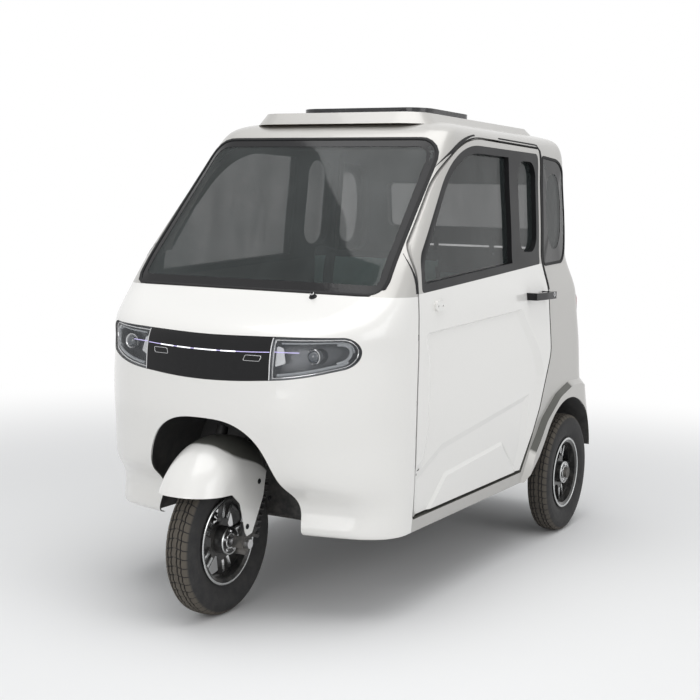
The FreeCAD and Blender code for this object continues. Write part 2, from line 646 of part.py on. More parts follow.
flare = bevelled(FLARE_ROOT_SHARES, FLARE_CREST_SHARES, FLARE_ROUND_SHARES, HALF_WIDTH - size("flare_root"),
                 HALF_WIDTH + flare_reach)
flare = flare.common(body_form(-flare_reach)).cut(body_form(WALL / 2))
flare = flare.common(block((0, -FAR, BODY_BOTTOM), (FAR, FAR, FAR)))
arch_cut = wheel_disc(arch_radius, -FAR, FAR)
arch_foot = side_prism(outline(side_points(ARCH_FOOT_SHARES), "YZ"), -FAR, FAR)
well_wall = size("arch_liner_wall")
well_recess = wheel_disc(arch_radius + well_wall + CLEAR, -FAR, FAR)
well_recess = well_recess.common(body_form(arch_lip - flare_reach))
tail_foot = block((-FAR, along(TAIL_FOOT_SHARES[0]), 0), (FAR, FAR, up(TAIL_FOOT_SHARES[1])))
sills = wall_shell.common(sill_zone).cut([door_hole, across(door_hole)])
rear_body = wall_shell.common(rear_zone).fuse([sills, flare, across(flare)]).cut([
    arch_cut, arch_foot, well_recess, tail_foot, door_hole, across(door_hole), quarter_rebate, quarter_hole,
    across(quarter_rebate), across(quarter_hole), rear_rebate, rear_hole, boot_hole])
keep("rear_body", rear_body)

glass_prisms = [side_prism(quarter_wire()), across(side_prism(quarter_wire())),
                front_prism(tail_wire(REAR_SCREEN_SHARES, 0, corner), tail_start, tail_end)]
keep("quarter_windows", Part.Compound([glass_skin.common(shape) for shape in glass_prisms[:2]]))
keep("rear_window", glass_skin.common(glass_prisms[2]))

boot_edge = tail_wire(BOOT_SHARES, -GAP, corner)
boot_lid = wall_shell.common(front_prism(boot_edge, tail_start, tail_end))

# Doors
WINDOW_SHARES = [(0.2080, 0.6458), (0.2080, 0.7120), (0.4200, 0.9510), (0.878, 0.9490), (0.878, 0.6847)]
WINDOW_ROUND_SHARES = [0.010, 0.06, 0.30, 0.012, 0.012]


def window_wire(shrink=0.0):
    """Door window's edge in side view."""
    wire = outline(side_points(WINDOW_SHARES), "YZ", [up(share) for share in WINDOW_ROUND_SHARES])
    return moved_in(wire, shrink) if shrink else wire


rail = size("window_rail")
door_shell = wall_shell.common(side_prism(door_edge, door_depth)).cut(side_prism(window_wire(0), door_depth))
DIVIDER_SHARE = 0.697
VENT_SHARES = [(0.749, 0.7150), (0.749, 0.9280), (0.860, 0.9280), (0.860, 0.7150)]
vent_wire = outline(side_points(VENT_SHARES), "YZ", size("vent_round"))
behind_divider = block((0, along(DIVIDER_SHARE), 0), (FAR, FAR, FAR))
main_pane = side_prism(window_wire(rail)).cut(behind_divider)
vent_pane = side_prism(vent_wire)
window_frame = wall_shell.common(side_prism(window_wire(CLEAR), door_depth)).cut([main_pane, vent_pane])
pane_skin = skin(WALL / 2, WALL / 2 + size("glass_thickness"))
main_glass = pane_skin.common(side_prism(window_wire(rail + CLEAR), door_depth).cut(
    block((0, along(DIVIDER_SHARE) - CLEAR, 0), (FAR, FAR, FAR))))
vent_glass = pane_skin.common(side_prism(moved_in(vent_wire, CLEAR), door_depth))

hinge_x = HALF_WIDTH - size("hinge_inset")
hinge_y = front_of_door + GAP + size("hinge_setback")
HINGE_HEIGHT_SHARES = [0.300, 0.430, 0.560]
MIRROR_SHARES = (0.2769, 0.6180)
half_hinge = size("hinge_height") / 2
hinge_plate = size("hinge_plate")
inner_face = HALF_WIDTH - WALL


def door_notch(height):
    """Room in a door's front edge for one hinge arm and its pin."""
    notch = block((inner_face - WALL, hinge_y - size("hinge_setback") - GAP, height - half_hinge - CLEAR),
                  (hinge_x + hinge_radius + CLEAR, hinge_y + hinge_radius + hinge_plate,
                   height + half_hinge + CLEAR))
    bore = Part.makeCylinder(pin_radius + CLEAR, pin_length + 2 * CLEAR,
                             Vector(hinge_x, hinge_y, height - pin_length / 2 - CLEAR))
    return notch.fuse(bore)


cabin_form = body_form(WALL + CLEAR)


def door_hinge(height):
    """Fixed half of a door hinge: foot on the nose's inner face, arm and pin."""
    low, high = height - half_hinge, height + half_hinge
    arm_x = inner_face - hinge_plate
    foot_y = front_of_door - size("hinge_room")
    half_plate = hinge_plate / 2
    foot = block((arm_x - hinge_plate, foot_y, low), (HALF_WIDTH, front_of_door - GAP, high))
    foot = foot.common(cabin_form)
    reach = block((arm_x - hinge_plate, foot_y, low), (arm_x, hinge_y + half_plate, high))
    arm = block((arm_x - hinge_plate, hinge_y - half_plate, low), (hinge_x, hinge_y + half_plate, high))
    boss = Part.makeCylinder(hinge_radius, 2 * half_hinge, Vector(hinge_x, hinge_y, low))
    pin = Part.makeCylinder(pin_radius, pin_length, Vector(hinge_x, hinge_y, height - pin_length / 2))
    return foot.fuse([reach, arm, boss, pin]).removeSplitter()


hinge_heights = [up(share) for share in HINGE_HEIGHT_SHARES]
door_shell = door_shell.cut([door_notch(height) for height in hinge_heights])
mirror_x = HALF_WIDTH + size("mirror_boss_reach")
mirror_y, mirror_z = along(MIRROR_SHARES[0]), up(MIRROR_SHARES[1])
half_pitch, mirror_hole = size("mirror_hole_pitch") / 2, size("mirror_hole_radius")
boss_half = half_pitch + size("mirror_boss_margin")
boss_wire = outline([(mirror_y - boss_half, mirror_z - half_pitch),
                     (mirror_y + boss_half, mirror_z - half_pitch),
                     (mirror_y + boss_half, mirror_z + half_pitch),
                     (mirror_y - boss_half, mirror_z + half_pitch)],
                    "YZ", size("mirror_boss_round"))
mirror_boss = side_prism(boss_wire, inner_face, mirror_x).cut(body_form(WALL / 2))
mirror_holes = [Part.makeCylinder(mirror_hole, size("mirror_hole_depth"),
                                  Vector(mirror_x, mirror_y + offset, mirror_z), Vector(-1, 0, 0))
                for offset in (-half_pitch, half_pitch)]

# Pressings of the door's skin in side view: at the first of two places across the car, then at the second
RECESS_SHARES = [(0.2156, 0.5684), (0.7780, 0.5960), (0.8563, 0.4190), (0.7500, 0.1900), (0.1950, 0.1900),
                 (0.2063, 0.2750), (0.2350, 0.3670), (0.2363, 0.5043)]
RECESS_FLOOR_SHARES = [(0.2494, 0.5580), (0.6900, 0.5805), (0.7563, 0.4190), (0.6700, 0.1900),
                       (0.2288, 0.1900), (0.2400, 0.2750), (0.2688, 0.3670), (0.2700, 0.5043)]
RECESS_ROUND_SHARES = [0.012, 0.0, 0.0, 0.0, 0.0, 0.06, 0.06, 0.06]
FOLD_SHARES = [(0.1875, 0.3045), (0.3094, 0.3543), (0.8250, 0.4050), (0.7700, 0.1768), (0.1813, 0.1768)]
FOLD_FLOOR_SHARES = [(0.2188, 0.2587), (0.3219, 0.3019), (0.7063, 0.3490), (0.6900, 0.1768),
                     (0.2188, 0.1768)]
FOLD_ROUND_SHARES = [0.0, 0.05, 0.0, 0.0, 0.0]
RIDGE_SHARES = [(0.2388, 0.1860), (0.3300, 0.2724), (0.6325, 0.2947), (0.7406, 0.1860)]
RIDGE_CREST_SHARES = [(0.2688, 0.1860), (0.3438, 0.2541), (0.6125, 0.2750), (0.6938, 0.1860)]
RIDGE_ROUND_SHARES = [0.0, 0.02, 0.015, 0.0]
pressing_x = (HALF_WIDTH + size("pressing_room"), HALF_WIDTH - WALL / 2)
recess = bevelled(RECESS_SHARES, RECESS_FLOOR_SHARES, RECESS_ROUND_SHARES, *pressing_x)
recess = recess.cut(body_form(size("door_recess")))
fold = bevelled(FOLD_SHARES, FOLD_FLOOR_SHARES, FOLD_ROUND_SHARES, *pressing_x)
fold = fold.cut(body_form(size("door_fold")))
ridge = bevelled(RIDGE_CREST_SHARES, RIDGE_SHARES, RIDGE_ROUND_SHARES, *pressing_x)
ridge = ridge.common(skin(size("door_ridge"), WALL / 2)).common(side_prism(door_edge, door_depth))
HANDLE_SHARES = (0.7500, 0.6040)
CUP_SHARES = (0.7938, 0.6117)
handle_y, handle_z = along(HANDLE_SHARES[0]), up(HANDLE_SHARES[1])
cup_x = HALF_WIDTH + size("cup_radius") - size("cup_depth")
cup_centre = Vector(cup_x, along(CUP_SHARES[0]), up(CUP_SHARES[1]))
handle_cup = Part.makeSphere(size("cup_radius"), cup_centre)
door_panel = door_shell.cut(above_belt).cut([recess, fold]).fuse([ridge, mirror_boss])
door_panel = door_panel.cut(mirror_holes + [handle_cup])
door_frame = door_shell.common(above_belt)


def door_handle():
    """Pull handle that stands off the skin on two feet, thicker towards its rear end."""
    reach = HALF_WIDTH + size("handle_reach")
    length, height = size("handle_length"), size("handle_height")
    stand, thin = reach - size("handle_stand"), reach - size("handle_stand") / 2
    half = height / 2
    plan = [(stand, handle_y), (thin, handle_y), (reach, handle_y + length / 2), (reach, handle_y + length),
            (stand, handle_y + length)]
    bar = top_prism(outline(plan, "XY", [0.0, CLEAR, FAR / 8, half / 2, 0.0]), handle_z, handle_z + height)
    feet = [block((inner_face, y, handle_z), (stand + CLEAR, y + height, handle_z + height))
            for y in (handle_y, handle_y + length - height)]
    return bar.fuse(feet).cut(body_form(-CLEAR)).removeSplitter()


handle = door_handle()
for side, turn_side in (("left", lambda shape: shape), ("right", across)):
    keep(f"door_{side}_panel", turn_side(door_panel))
    keep(f"door_{side}_frame", turn_side(door_frame))
    keep(f"door_{side}_window_frame", turn_side(window_frame))
    keep(f"door_{side}_glass", turn_side(Part.Compound([main_glass, vent_glass])))
    keep(f"door_{side}_handle", turn_side(handle))

# Boot lid with its two hinges
boot_top = up(BOOT_SHARES[2]) - GAP
BOOT_TAIL_SHARE = 1.1290
boot_pivot_y = along(BOOT_TAIL_SHARE) - size("hinge_inset")
boot_pivot_z = boot_top - size("hinge_setback")
BOOT_HINGE_SHARE = 0.24
boot_hinge_places = [out(BOOT_HINGE_SHARE), -out(BOOT_HINGE_SHARE)]


def boot_pin(place, radius, length):
    """Pin or bore along X at the boot lid's pivot."""
    start = Vector(place - length / 2, boot_pivot_y, boot_pivot_z)
    return Part.makeCylinder(radius, length, start, Vector(1, 0, 0))


def boot_notch(place):
    """Room in the lid's top edge for one hinge arm."""
    notch_z = boot_pivot_z - hinge_radius - hinge_plate
    notch = block((place - half_hinge - CLEAR, boot_pivot_y - 2 * WALL, notch_z),
                  (place + half_hinge + CLEAR, boot_pivot_y + hinge_radius + CLEAR, boot_top + GAP))
    return notch.fuse(boot_pin(place, pin_radius + CLEAR, pin_length + 2 * CLEAR))


def boot_hinge(place):
    """Fixed half of a boot hinge, hung from the tail wall above the lid."""
    low, high = place - half_hinge, place + half_hinge
    arm_y = boot_pivot_y - size("boot_hinge_room")
    half_plate = hinge_plate / 2
    arm = block((low, arm_y, boot_pivot_z - half_plate), (high, boot_pivot_y, boot_pivot_z + half_plate))
    upright = block((low, arm_y - hinge_plate, boot_pivot_z - half_plate),
                    (high, arm_y, boot_top + size("boot_hinge_room")))
    foot = block((low, arm_y - hinge_plate, boot_top + GAP + hinge_plate),
                 (high, boot_pivot_y, boot_top + size("boot_hinge_room"))).common(body_form(WALL + CLEAR))
    return arm.fuse([upright, foot, boot_pin(place, hinge_radius, 2 * half_hinge),
                     boot_pin(place, pin_radius, pin_length)]).removeSplitter()


boot_lid = boot_lid.cut([boot_notch(place) for place in boot_hinge_places])
keep("boot_lid", boot_lid)
door_hinges = Part.Compound([door_hinge(height) for height in hinge_heights])
keep("door_hinges", both_sides(door_hinges))
keep("lid_hinges", Part.Compound([boot_hinge(place) for place in boot_hinge_places] + hatch_ears))

# Tail lamps on the rear corners
TAIL_LAMP_SHARES = [(0.70, 0.470), (0.93, 0.470), (0.93, 0.610), (0.70, 0.610)]
lamp_wire = outline([(out(x), up(z)) for x, z in TAIL_LAMP_SHARES], "XZ", WALL)
tail_lamp = skin(-size("tail_lamp_rise"), -CLEAR).common(front_prism(lamp_wire, along(1.0), tail_end))
keep("tail_lamps", both_sides(tail_lamp))

# Front arch liner, bulkhead and floor
liner_wall = size("liner_wall")
liner_outer = front_prism(arch_wire(liner_room), -FAR, liner_rear)
liner_inner = front_prism(arch_wire(liner_room - liner_wall), -FAR, liner_rear - liner_wall)
rake_axis = Vector(0, math.sin(RAKE), math.cos(RAKE))
steer_foot = Vector(0, FRONT_AXLE, TYRE_RADIUS) + Vector(0, math.cos(RAKE), -math.sin(RAKE)) * STEER_OFFSET


def steering_cylinder(radius, start, length):
    """Cylinder on the steering axis."""
    return Part.makeCylinder(radius, length, steer_foot + rake_axis * start, rake_axis)


stem_hole = steering_cylinder(size("stem_radius") + liner_room / 2, 0, FAR)
liner = liner_outer.cut(liner_inner).common(body_form(arch_lip + CLEAR)).cut(stem_hole)
keep("front_arch_liner", liner)

DASH_SHARES = [(0.2265, 0.1990), (0.2265, 0.580), (0.080, 0.623)]
dash_line = side_points(DASH_SHARES)
dash_thickness = size("dash_thickness")
dash_points = [dash_line[0], dash_line[1], dash_line[2],
               (dash_line[2][0], dash_line[2][1] - dash_thickness),
               (dash_line[1][0] - dash_thickness, dash_line[1][1] - dash_thickness),
               (dash_line[0][0] - dash_thickness, dash_line[0][1])]
dash_half = HALF_WIDTH - size("dash_side_room")
dash = side_prism(outline(dash_points, "YZ"), -dash_half, dash_half)
dash = dash.common(body_form(WALL + CLEAR)).cut(stem_hole)
keep("dash_panel", dash)

FLOOR_SHARES = (0.2165, 0.752, 0.380, 1.180)
floor_bottom = size("floor_bottom")
floor_thickness = size("floor_thickness")
floor_front, step_place = along(FLOOR_SHARES[0]), along(FLOOR_SHARES[1])
bench_base, floor_rear = up(FLOOR_SHARES[2]), along(FLOOR_SHARES[3])
floor_points = [(floor_front, floor_bottom), (step_place + floor_thickness, floor_bottom),
                (step_place + floor_thickness, bench_base - floor_thickness),
                (floor_rear, bench_base - floor_thickness), (floor_rear, bench_base),
                (step_place, bench_base), (step_place, floor_bottom + floor_thickness),
                (floor_front, floor_bottom + floor_thickness)]
floor_pan = side_prism(outline(floor_points, "YZ"), -FAR, FAR).common(body_form(WALL + CLEAR))
keep("floor_pan", floor_pan)

liner_start, liner_end = HALF_WIDTH - size("arch_liner_depth"), HALF_WIDTH + flare_reach
well = wheel_disc(arch_radius + well_wall, liner_start, liner_end).cut(
    wheel_disc(arch_radius, liner_start + well_wall, liner_end))
axle_room = wheel_disc(size("drum_radius") + liner_room, 0, liner_start + 2 * well_wall)
well = well.cut([axle_room, arch_foot, tail_foot]).common(body_form(arch_lip + CLEAR - flare_reach))
keep("rear_arch_liners", both_sides(well))


# Wheels
def wheel_sketch(body, name, points):
    """Half section of a wheel piece: places across it and radii, as expressions."""
    return sketch(body, name, "XZ_Plane", points)


def tyre(label, x, y):
    """Tyre, solid down to the bead seat."""
    half, radius = "sizes.tyre_width / 2", "sizes.tyre_diameter / 2"
    bead = "(sizes.rim_diameter / 2 + sizes.seat_clearance)"
    flange_top = "(sizes.rim_diameter / 2 + sizes.rim_flange + sizes.flange_thickness)"
    seat = "(sizes.bead_width / 2 - sizes.seat_clearance)"
    profile = [(f"-{seat}", bead), (seat, bead), (seat, flange_top)]
    shoulder_shares = [(0.90, 0.70), (1.0, 0.79), (0.97, 0.89), (0.80, 0.965), (0.42, 0.995)]
    rising = [(f"{half} * {w}", f"{radius} * {r}") for w, r in shoulder_shares]
    falling = [(f"-({half} * {w})", f"{radius} * {r}") for w, r in reversed(shoulder_shares)]
    profile += rising + [("0", radius)] + falling + [(f"-{seat}", flange_top)]
    body = new_body(label)
    turn(body, wheel_sketch(body, f"{label}_section", profile))
    return place_by(keep_object(body), x, y, "sizes.tyre_diameter / 2")


def polar(radius_text, angle):
    """A point at a radius and an angle, as two expressions."""
    return f"{radius_text} * cos({angle} deg)", f"{radius_text} * sin({angle} deg)"


SPOKE_PAIRS = 5


def rim(label, x, y, hub_width, bore):
    """Alloy rim: barrel, flanges, hub and a disc cut into five pairs of spokes."""
    bead, flange = "sizes.rim_diameter / 2", "(sizes.rim_diameter / 2 + sizes.rim_flange)"
    inner = "(sizes.rim_diameter / 2 - sizes.rim_wall)"
    seat = "sizes.bead_width / 2"
    edge = "(sizes.bead_width / 2 + sizes.flange_thickness)"
    disc, hub = "sizes.disc_thickness / 2", "sizes.hub_radius"
    half = [(edge, flange), (edge, bead), (seat, inner), (disc, inner), (disc, hub),
            (f"{hub_width} / 2", hub),
            (f"{hub_width} / 2", bore)]
    right = [(seat, bead), (seat, flange)] + half
    left = [(f"-({a})", b) for a, b in reversed(right)]
    body = new_body(label)
    turn(body, wheel_sketch(body, f"{label}_section", right + left))
    doc.recompute()
    windows = [
        [polar("sizes.hub_radius * 1.3", 22), polar("(sizes.rim_diameter / 2 - sizes.rim_wall * 1.6)", 14),
         polar("(sizes.rim_diameter / 2 - sizes.rim_wall * 1.2)", 36),
         polar("(sizes.rim_diameter / 2 - sizes.rim_wall * 1.6)", 58), polar("sizes.hub_radius * 1.3", 50)],
        [polar("sizes.hub_radius * 1.5", 3), polar("sizes.hub_radius * 1.5", -3),
         polar("(sizes.rim_diameter / 2 - sizes.rim_wall * 1.6)", -5),
         polar("(sizes.rim_diameter / 2 - sizes.rim_wall * 1.6)", 5)],
    ]
    for i, corners in enumerate(windows):
        drawing = sketch(body, f"{label}_window_{i}", "YZ_Plane", corners)
        pocket = body.newObject("PartDesign::Pocket", f"{label}_pocket_{i}")
        pocket.Profile = drawing
        pocket.Midplane = True
        pocket.setExpression("Length", "sizes.disc_thickness * 2")
        body.Tip = pocket
        pattern = body.newObject("PartDesign::PolarPattern", f"{label}_pattern_{i}")
        pattern.Originals = [pocket]
        pattern.Axis = (origin_plane(body, "X_Axis"), [""])
        pattern.Angle = 360
        pattern.Occurrences = SPOKE_PAIRS
        body.Tip = pattern
        doc.recompute()
    return place_by(keep_object(body), x, y, "sizes.tyre_diameter / 2")


FRONT_Y, REAR_Y = f"({DATUM_TEXT} + sizes.axle_setback)", f"({y_at(1)} + sizes.axle_setback)"
running = "sizes.running_clearance"
tyre("front_tyre", "0", FRONT_Y)
rim("front_rim", "0", FRONT_Y, "sizes.front_hub_width", f"(sizes.axle_radius + {running})")
for side, sign in (("left", ""), ("right", "-")):
    tyre(f"rear_{side}_tyre", f"{sign}sizes.track / 2", REAR_Y)
    rim(f"rear_{side}_rim", f"{sign}sizes.track / 2", REAR_Y, "sizes.rear_hub_width",
        f"(sizes.rear_shaft_radius + {running})")


# Solids bound to the sheet
def box(name, low, high):
    """Part::Box between two corners given as expressions."""
    item = doc.addObject("Part::Box", name)
    item.Label = name
    place_by(item, *low)
    sides = [f"({b}) - ({a})" for a, b in zip(low, high)]
    return bind(item, Length=sides[0], Width=sides[1], Height=sides[2])


def cylinder(name, radius, start, length, axis="Z"):
    """Part::Cylinder along a main axis from a start given as expressions."""
    item = doc.addObject("Part::Cylinder", name)
    item.Label = name
    rotations = {"Z": Rotation(), "X": Rotation(Vector(0, 1, 0), 90), "Y": Rotation(Vector(-1, 0, 0), 90)}
    item.Placement = Placement(Vector(), rotations[axis])
    place_by(item, *start)
    return bind(item, Radius=radius, Height=length)


def fused(label, items):
    """One solid from several."""
    item = doc.addObject("Part::MultiFuse", label)
    item.Label = label
    item.Shapes = items
    item.Refine = True
    return item


def cut_by(label, base, tools):
    """A solid with others taken away."""
    item = doc.addObject("Part::Cut", label)
    item.Label = label
    item.Base = base
    item.Tool = tools[0] if len(tools) == 1 else fused(f"{label}_tools", tools)
    return item


# Steering: everything here is drawn along the steering axis, which leans back by the rake
def lean(item):
    """Place a piece drawn on the steering axis, whose foot is level with the front axle."""
    offset = "(sizes.axle_to_fork + sizes.fork_to_steering)"
    item.Placement = Placement(Vector(), Rotation(Vector(-1, 0, 0), size("rake_angle")))
    item.setExpression("Placement.Rotation.Angle", "sizes.rake_angle")
    return place_by(item, "0", f"{FRONT_Y} + {offset} * cos(sizes.rake_angle * 1 deg)",
                    f"sizes.tyre_diameter / 2 - {offset} * sin(sizes.rake_angle * 1 deg)")


leg_x = "(sizes.fender_width / 2 - sizes.fender_wall - sizes.seat_clearance - sizes.fork_radius)"
leg_y = "-sizes.fork_to_steering"
axle_y = "-(sizes.axle_to_fork + sizes.fork_to_steering)"
bridge_foot = "(sizes.bridge_top - sizes.bridge_height)"
fork_pieces = []
for side, sign in (("left", ""), ("right", "-")):
    fork_pieces.append(cylinder(f"leg_{side}", "sizes.fork_radius",
                                (f"{sign}{leg_x}", leg_y, "-sizes.fork_foot"),
                                "sizes.leg_top + sizes.fork_foot"))
    fork_pieces.append(cylinder(f"leg_cap_{side}", "sizes.axle_radius",
                                (f"{sign}{leg_x}", leg_y, "sizes.leg_top"),
                                "sizes.leg_cap_height"))
    inner, outer = f"{sign}{leg_x} - sizes.fork_radius", f"{sign}{leg_x} + sizes.fork_radius"
    fork_pieces.append(box(f"lug_{side}", (inner, f"{axle_y} - sizes.lug_size / 2", "-sizes.lug_size / 2"),
                           (outer, leg_y, "sizes.lug_size / 2")))
bridge = new_body("bridge")
bridge_front, bridge_rear = f"{leg_y} - sizes.bridge_half_depth", f"{leg_y} + sizes.bridge_half_depth"
bridge_outline = [(f"-{leg_x}", bridge_front), (leg_x, bridge_front), (leg_x, bridge_rear),
                  ("sizes.bridge_nose", "sizes.bridge_reach"), ("-sizes.bridge_nose", "sizes.bridge_reach"),
                  (f"-{leg_x}", bridge_rear)]
pad(bridge, sketch(bridge, "bridge_outline", "XY_Plane", bridge_outline), "sizes.bridge_height", False)
place_by(bridge, "0", "0", bridge_foot)
stem = cylinder("stem", "sizes.stem_radius", ("0", "0", bridge_foot),
                f"sizes.bar_height - {bridge_foot} - sizes.clamp_size / 2")
axle_bore = cylinder("axle_bore", f"sizes.axle_radius + {running}", ("-sizes.fender_width", axle_y, "0"),
                     "sizes.fender_width * 2", "X")
keep_object(lean(cut_by("fork", fused("fork_frame", fork_pieces + [bridge, stem]), [axle_bore])))

axle_end = f"({leg_x} + sizes.fork_radius + {running})"
axle_pieces = [cylinder("axle_rod", "sizes.axle_radius",
                        (f"-({axle_end} + sizes.axle_nut_width)", axle_y, "0"),
                        f"2 * ({axle_end} + sizes.axle_nut_width)", "X")]
spacer_start = "(sizes.front_hub_width / 2 + sizes.spacer_gap)"
spacer_end = f"({leg_x} - sizes.fork_radius - {running})"
nut_end = f"({axle_end} + sizes.axle_nut_width)"
for name, radius, start, end in (("nut", "sizes.axle_nut_radius", axle_end, nut_end),
                                 ("spacer", "sizes.spacer_radius", spacer_start, spacer_end)):
    for side, low in (("left", start), ("right", f"-{end}")):
        axle_pieces.append(cylinder(f"axle_{name}_{side}", radius, (low, axle_y, "0"),
                                    f"{end} - {start}", "X"))
keep_object(lean(fused("front_axle", axle_pieces)))


def steer_point(x, y, z):
    """World place of a point given on the leaning steering axis."""
    return steer_foot + Vector(x, 0, 0) + Vector(0, math.cos(RAKE), -math.sin(RAKE)) * y + rake_axis * z


def tube_along(points, radius, bend):
    """Round bar along straight runs joined by tangent arcs."""
    pieces = []
    last = points[0]
    for i in range(1, len(points) - 1):
        before = (points[i - 1] - points[i]).normalize()
        after = (points[i + 1] - points[i]).normalize()
        half = before.getAngle(after) / 2
        start, end = points[i] + before * bend / math.tan(half), points[i] + after * bend / math.tan(half)
        middle = points[i] + (before + after).normalize() * (bend / math.sin(half) - bend)
        pieces += [Part.LineSegment(last, start).toShape(), Part.Arc(start, middle, end).toShape()]
        last = end
    pieces.append(Part.LineSegment(last, points[-1]).toShape())
    path = Part.Wire(pieces)
    ring = Part.Wire([Part.Circle(points[0], points[1] - points[0], radius).toShape()])
    return path.makePipeShell([ring], True, False)


bar_z, bar_y = size("bar_height"), size("bar_setback")
reach, sweep, grip = size("bar_reach"), size("bar_sweep"), size("grip_length")
half_clamp = size("clamp_size") / 2
bar_radius = size("bar_radius")
grip_way = (steer_point(reach, bar_y + sweep, bar_z) - steer_point(half_clamp * 3, bar_y, bar_z)).normalize()
bar_end = steer_point(reach, bar_y + sweep, bar_z)
bar_path = [steer_point(-reach, bar_y + sweep, bar_z), steer_point(-half_clamp * 3, bar_y, bar_z),
            steer_point(half_clamp * 3, bar_y, bar_z), bar_end]
grip_bar = Part.makeCylinder(size("grip_radius"), grip, bar_end - grip_way * grip, grip_way)
clamp = Part.makeBox(2 * half_clamp, bar_y + 2 * half_clamp, 2 * half_clamp,
                     Vector(-half_clamp, -half_clamp, -half_clamp))
clamp.Placement = Placement(steer_point(0, 0, bar_z), Rotation(Vector(-1, 0, 0), size("rake_angle")))
handlebar = tube_along(bar_path, bar_radius, 2 * half_clamp).fuse([grip_bar, across(grip_bar), clamp])
keep("handlebar", handlebar)

# Front fender: a rounded hoop about a centre near the wheel's, cut to its outline in side view
FENDER_CENTRE_SHARES = (0.0125, 0.1965)
FENDER_SHARES = [(-0.1625, 0.2633), (-0.0369, 0.2567), (-0.0094, 0.2338), (0.0088, 0.1729), (0.0138, 0.1650),
                 (0.0300, 0.1683), (0.0663, 0.2351), (0.0756, 0.2829), (0.1031, 0.3078), (0.1250, 0.3143),
                 (0.1250, 0.3667), (-0.1625, 0.3667)]
FENDER_ROUND_SHARES = [0.0, 0.016, 0.013, 0.0, 0.0, 0.004, 0.03, 0.02, 0.02, 0.0, 0.0, 0.0]


def fender_hoop(inset):
    """Drum with rounded shoulders, moved in by an inset."""
    radius, half = size("fender_radius") - inset, size("fender_width") / 2 - inset
    centre = Vector(-half, along(FENDER_CENTRE_SHARES[0]), up(FENDER_CENTRE_SHARES[1]))
    drum = Part.makeCylinder(radius, 2 * half, centre, Vector(1, 0, 0))
    rims = [edge for edge in drum.Edges if len(edge.Vertexes) == 1 and edge.Length > radius]
    return drum.makeFillet(size("fender_shoulder") - inset, rims)


fender = fender_hoop(0.0).cut(fender_hoop(size("fender_wall")))
fender_radii = [up(share) for share in FENDER_ROUND_SHARES]
fender = fender.common(side_prism(outline(side_points(FENDER_SHARES), "YZ", fender_radii), -FAR, FAR))
leg_place = size("fender_width") / 2 - size("fender_wall") - CLEAR - size("fork_radius")
hole_room, hole_foot = size("fender_hole_room"), size("fender_hole_foot")
leg_hole = Part.makeCylinder(size("fork_radius") + hole_room, FAR,
                             steer_point(leg_place, -size("fork_to_steering"), hole_foot), rake_axis)
stem_room = steering_cylinder(size("stem_radius") + hole_room, hole_foot, FAR)
keep("front_fender", fender.cut([leg_hole, across(leg_hole), stem_room]))

# Chassis
rail_x = "sizes.rail_spacing / 2"
RAIL_SHARES = (0.1960, 0.7680, 0.8300, 1.1450)
CROSS_TUBE_SHARES = (0.2070, 0.4600, 0.7400, 0.9300)
rail_top, kicked_top = "sizes.floor_bottom", "(sizes.floor_bottom + sizes.rail_kick)"
rail_front, rail_kick, rail_level, rail_end = [y_at(share) for share in RAIL_SHARES]
rail_corners = [(rail_front, f"{rail_top} - sizes.rail_height"),
                (rail_kick, f"{rail_top} - sizes.rail_height"),
                (rail_level, f"{kicked_top} - sizes.rail_height"),
                (rail_end, f"{kicked_top} - sizes.rail_height"), (rail_end, kicked_top),
                (rail_level, kicked_top), (rail_kick, rail_top), (rail_front, rail_top)]
chassis_pieces = []
for side, sign in (("left", ""), ("right", "-")):
    rail_body = new_body(f"rail_{side}")
    pad(rail_body, sketch(rail_body, f"rail_{side}_side", "YZ_Plane", rail_corners), "sizes.rail_width")
    chassis_pieces.append(place_by(rail_body, f"{sign}{rail_x}", "0", "0"))
cross_tops = [rail_top, rail_top, rail_top, kicked_top, kicked_top]
cross_ends = [y_at(share) for share in CROSS_TUBE_SHARES] + [rail_end]
cross_places = [(y, f"{top} - sizes.rail_height / 2") for y, top in zip(cross_ends, cross_tops)]
for i, (y, z) in enumerate(cross_places):
    chassis_pieces.append(cylinder(f"cross_tube_{i}", "sizes.cross_tube_radius", (f"-{rail_x}", y, z),
                                   "sizes.rail_spacing", "X"))
head_outer = steering_cylinder(size("stem_radius") + CLEAR + size("head_tube_wall"), size("head_tube_foot"),
                               size("head_tube_length"))
head_bore = steering_cylinder(size("stem_radius") + CLEAR, 0, FAR)
DOWN_TUBE_SHARES = (0.1831, 0.5010)
half_down = size("down_tube_spacing") / 2
down_radius = size("down_tube_radius")
down_start = Vector(half_down / 2, along(DOWN_TUBE_SHARES[0]), up(DOWN_TUBE_SHARES[1]))
down_end = Vector(half_down, along(CROSS_TUBE_SHARES[0]), size("floor_bottom") - size("rail_height") / 2)
down_way = down_end - down_start
down_tube = Part.makeCylinder(down_radius, down_way.Length, down_start, down_way)
head = doc.addObject("Part::Feature", "head_tube")
head.Shape = head_outer.fuse([down_tube, across(down_tube)]).cut(head_bore)
keep_object(fused("chassis", chassis_pieces + [head]))

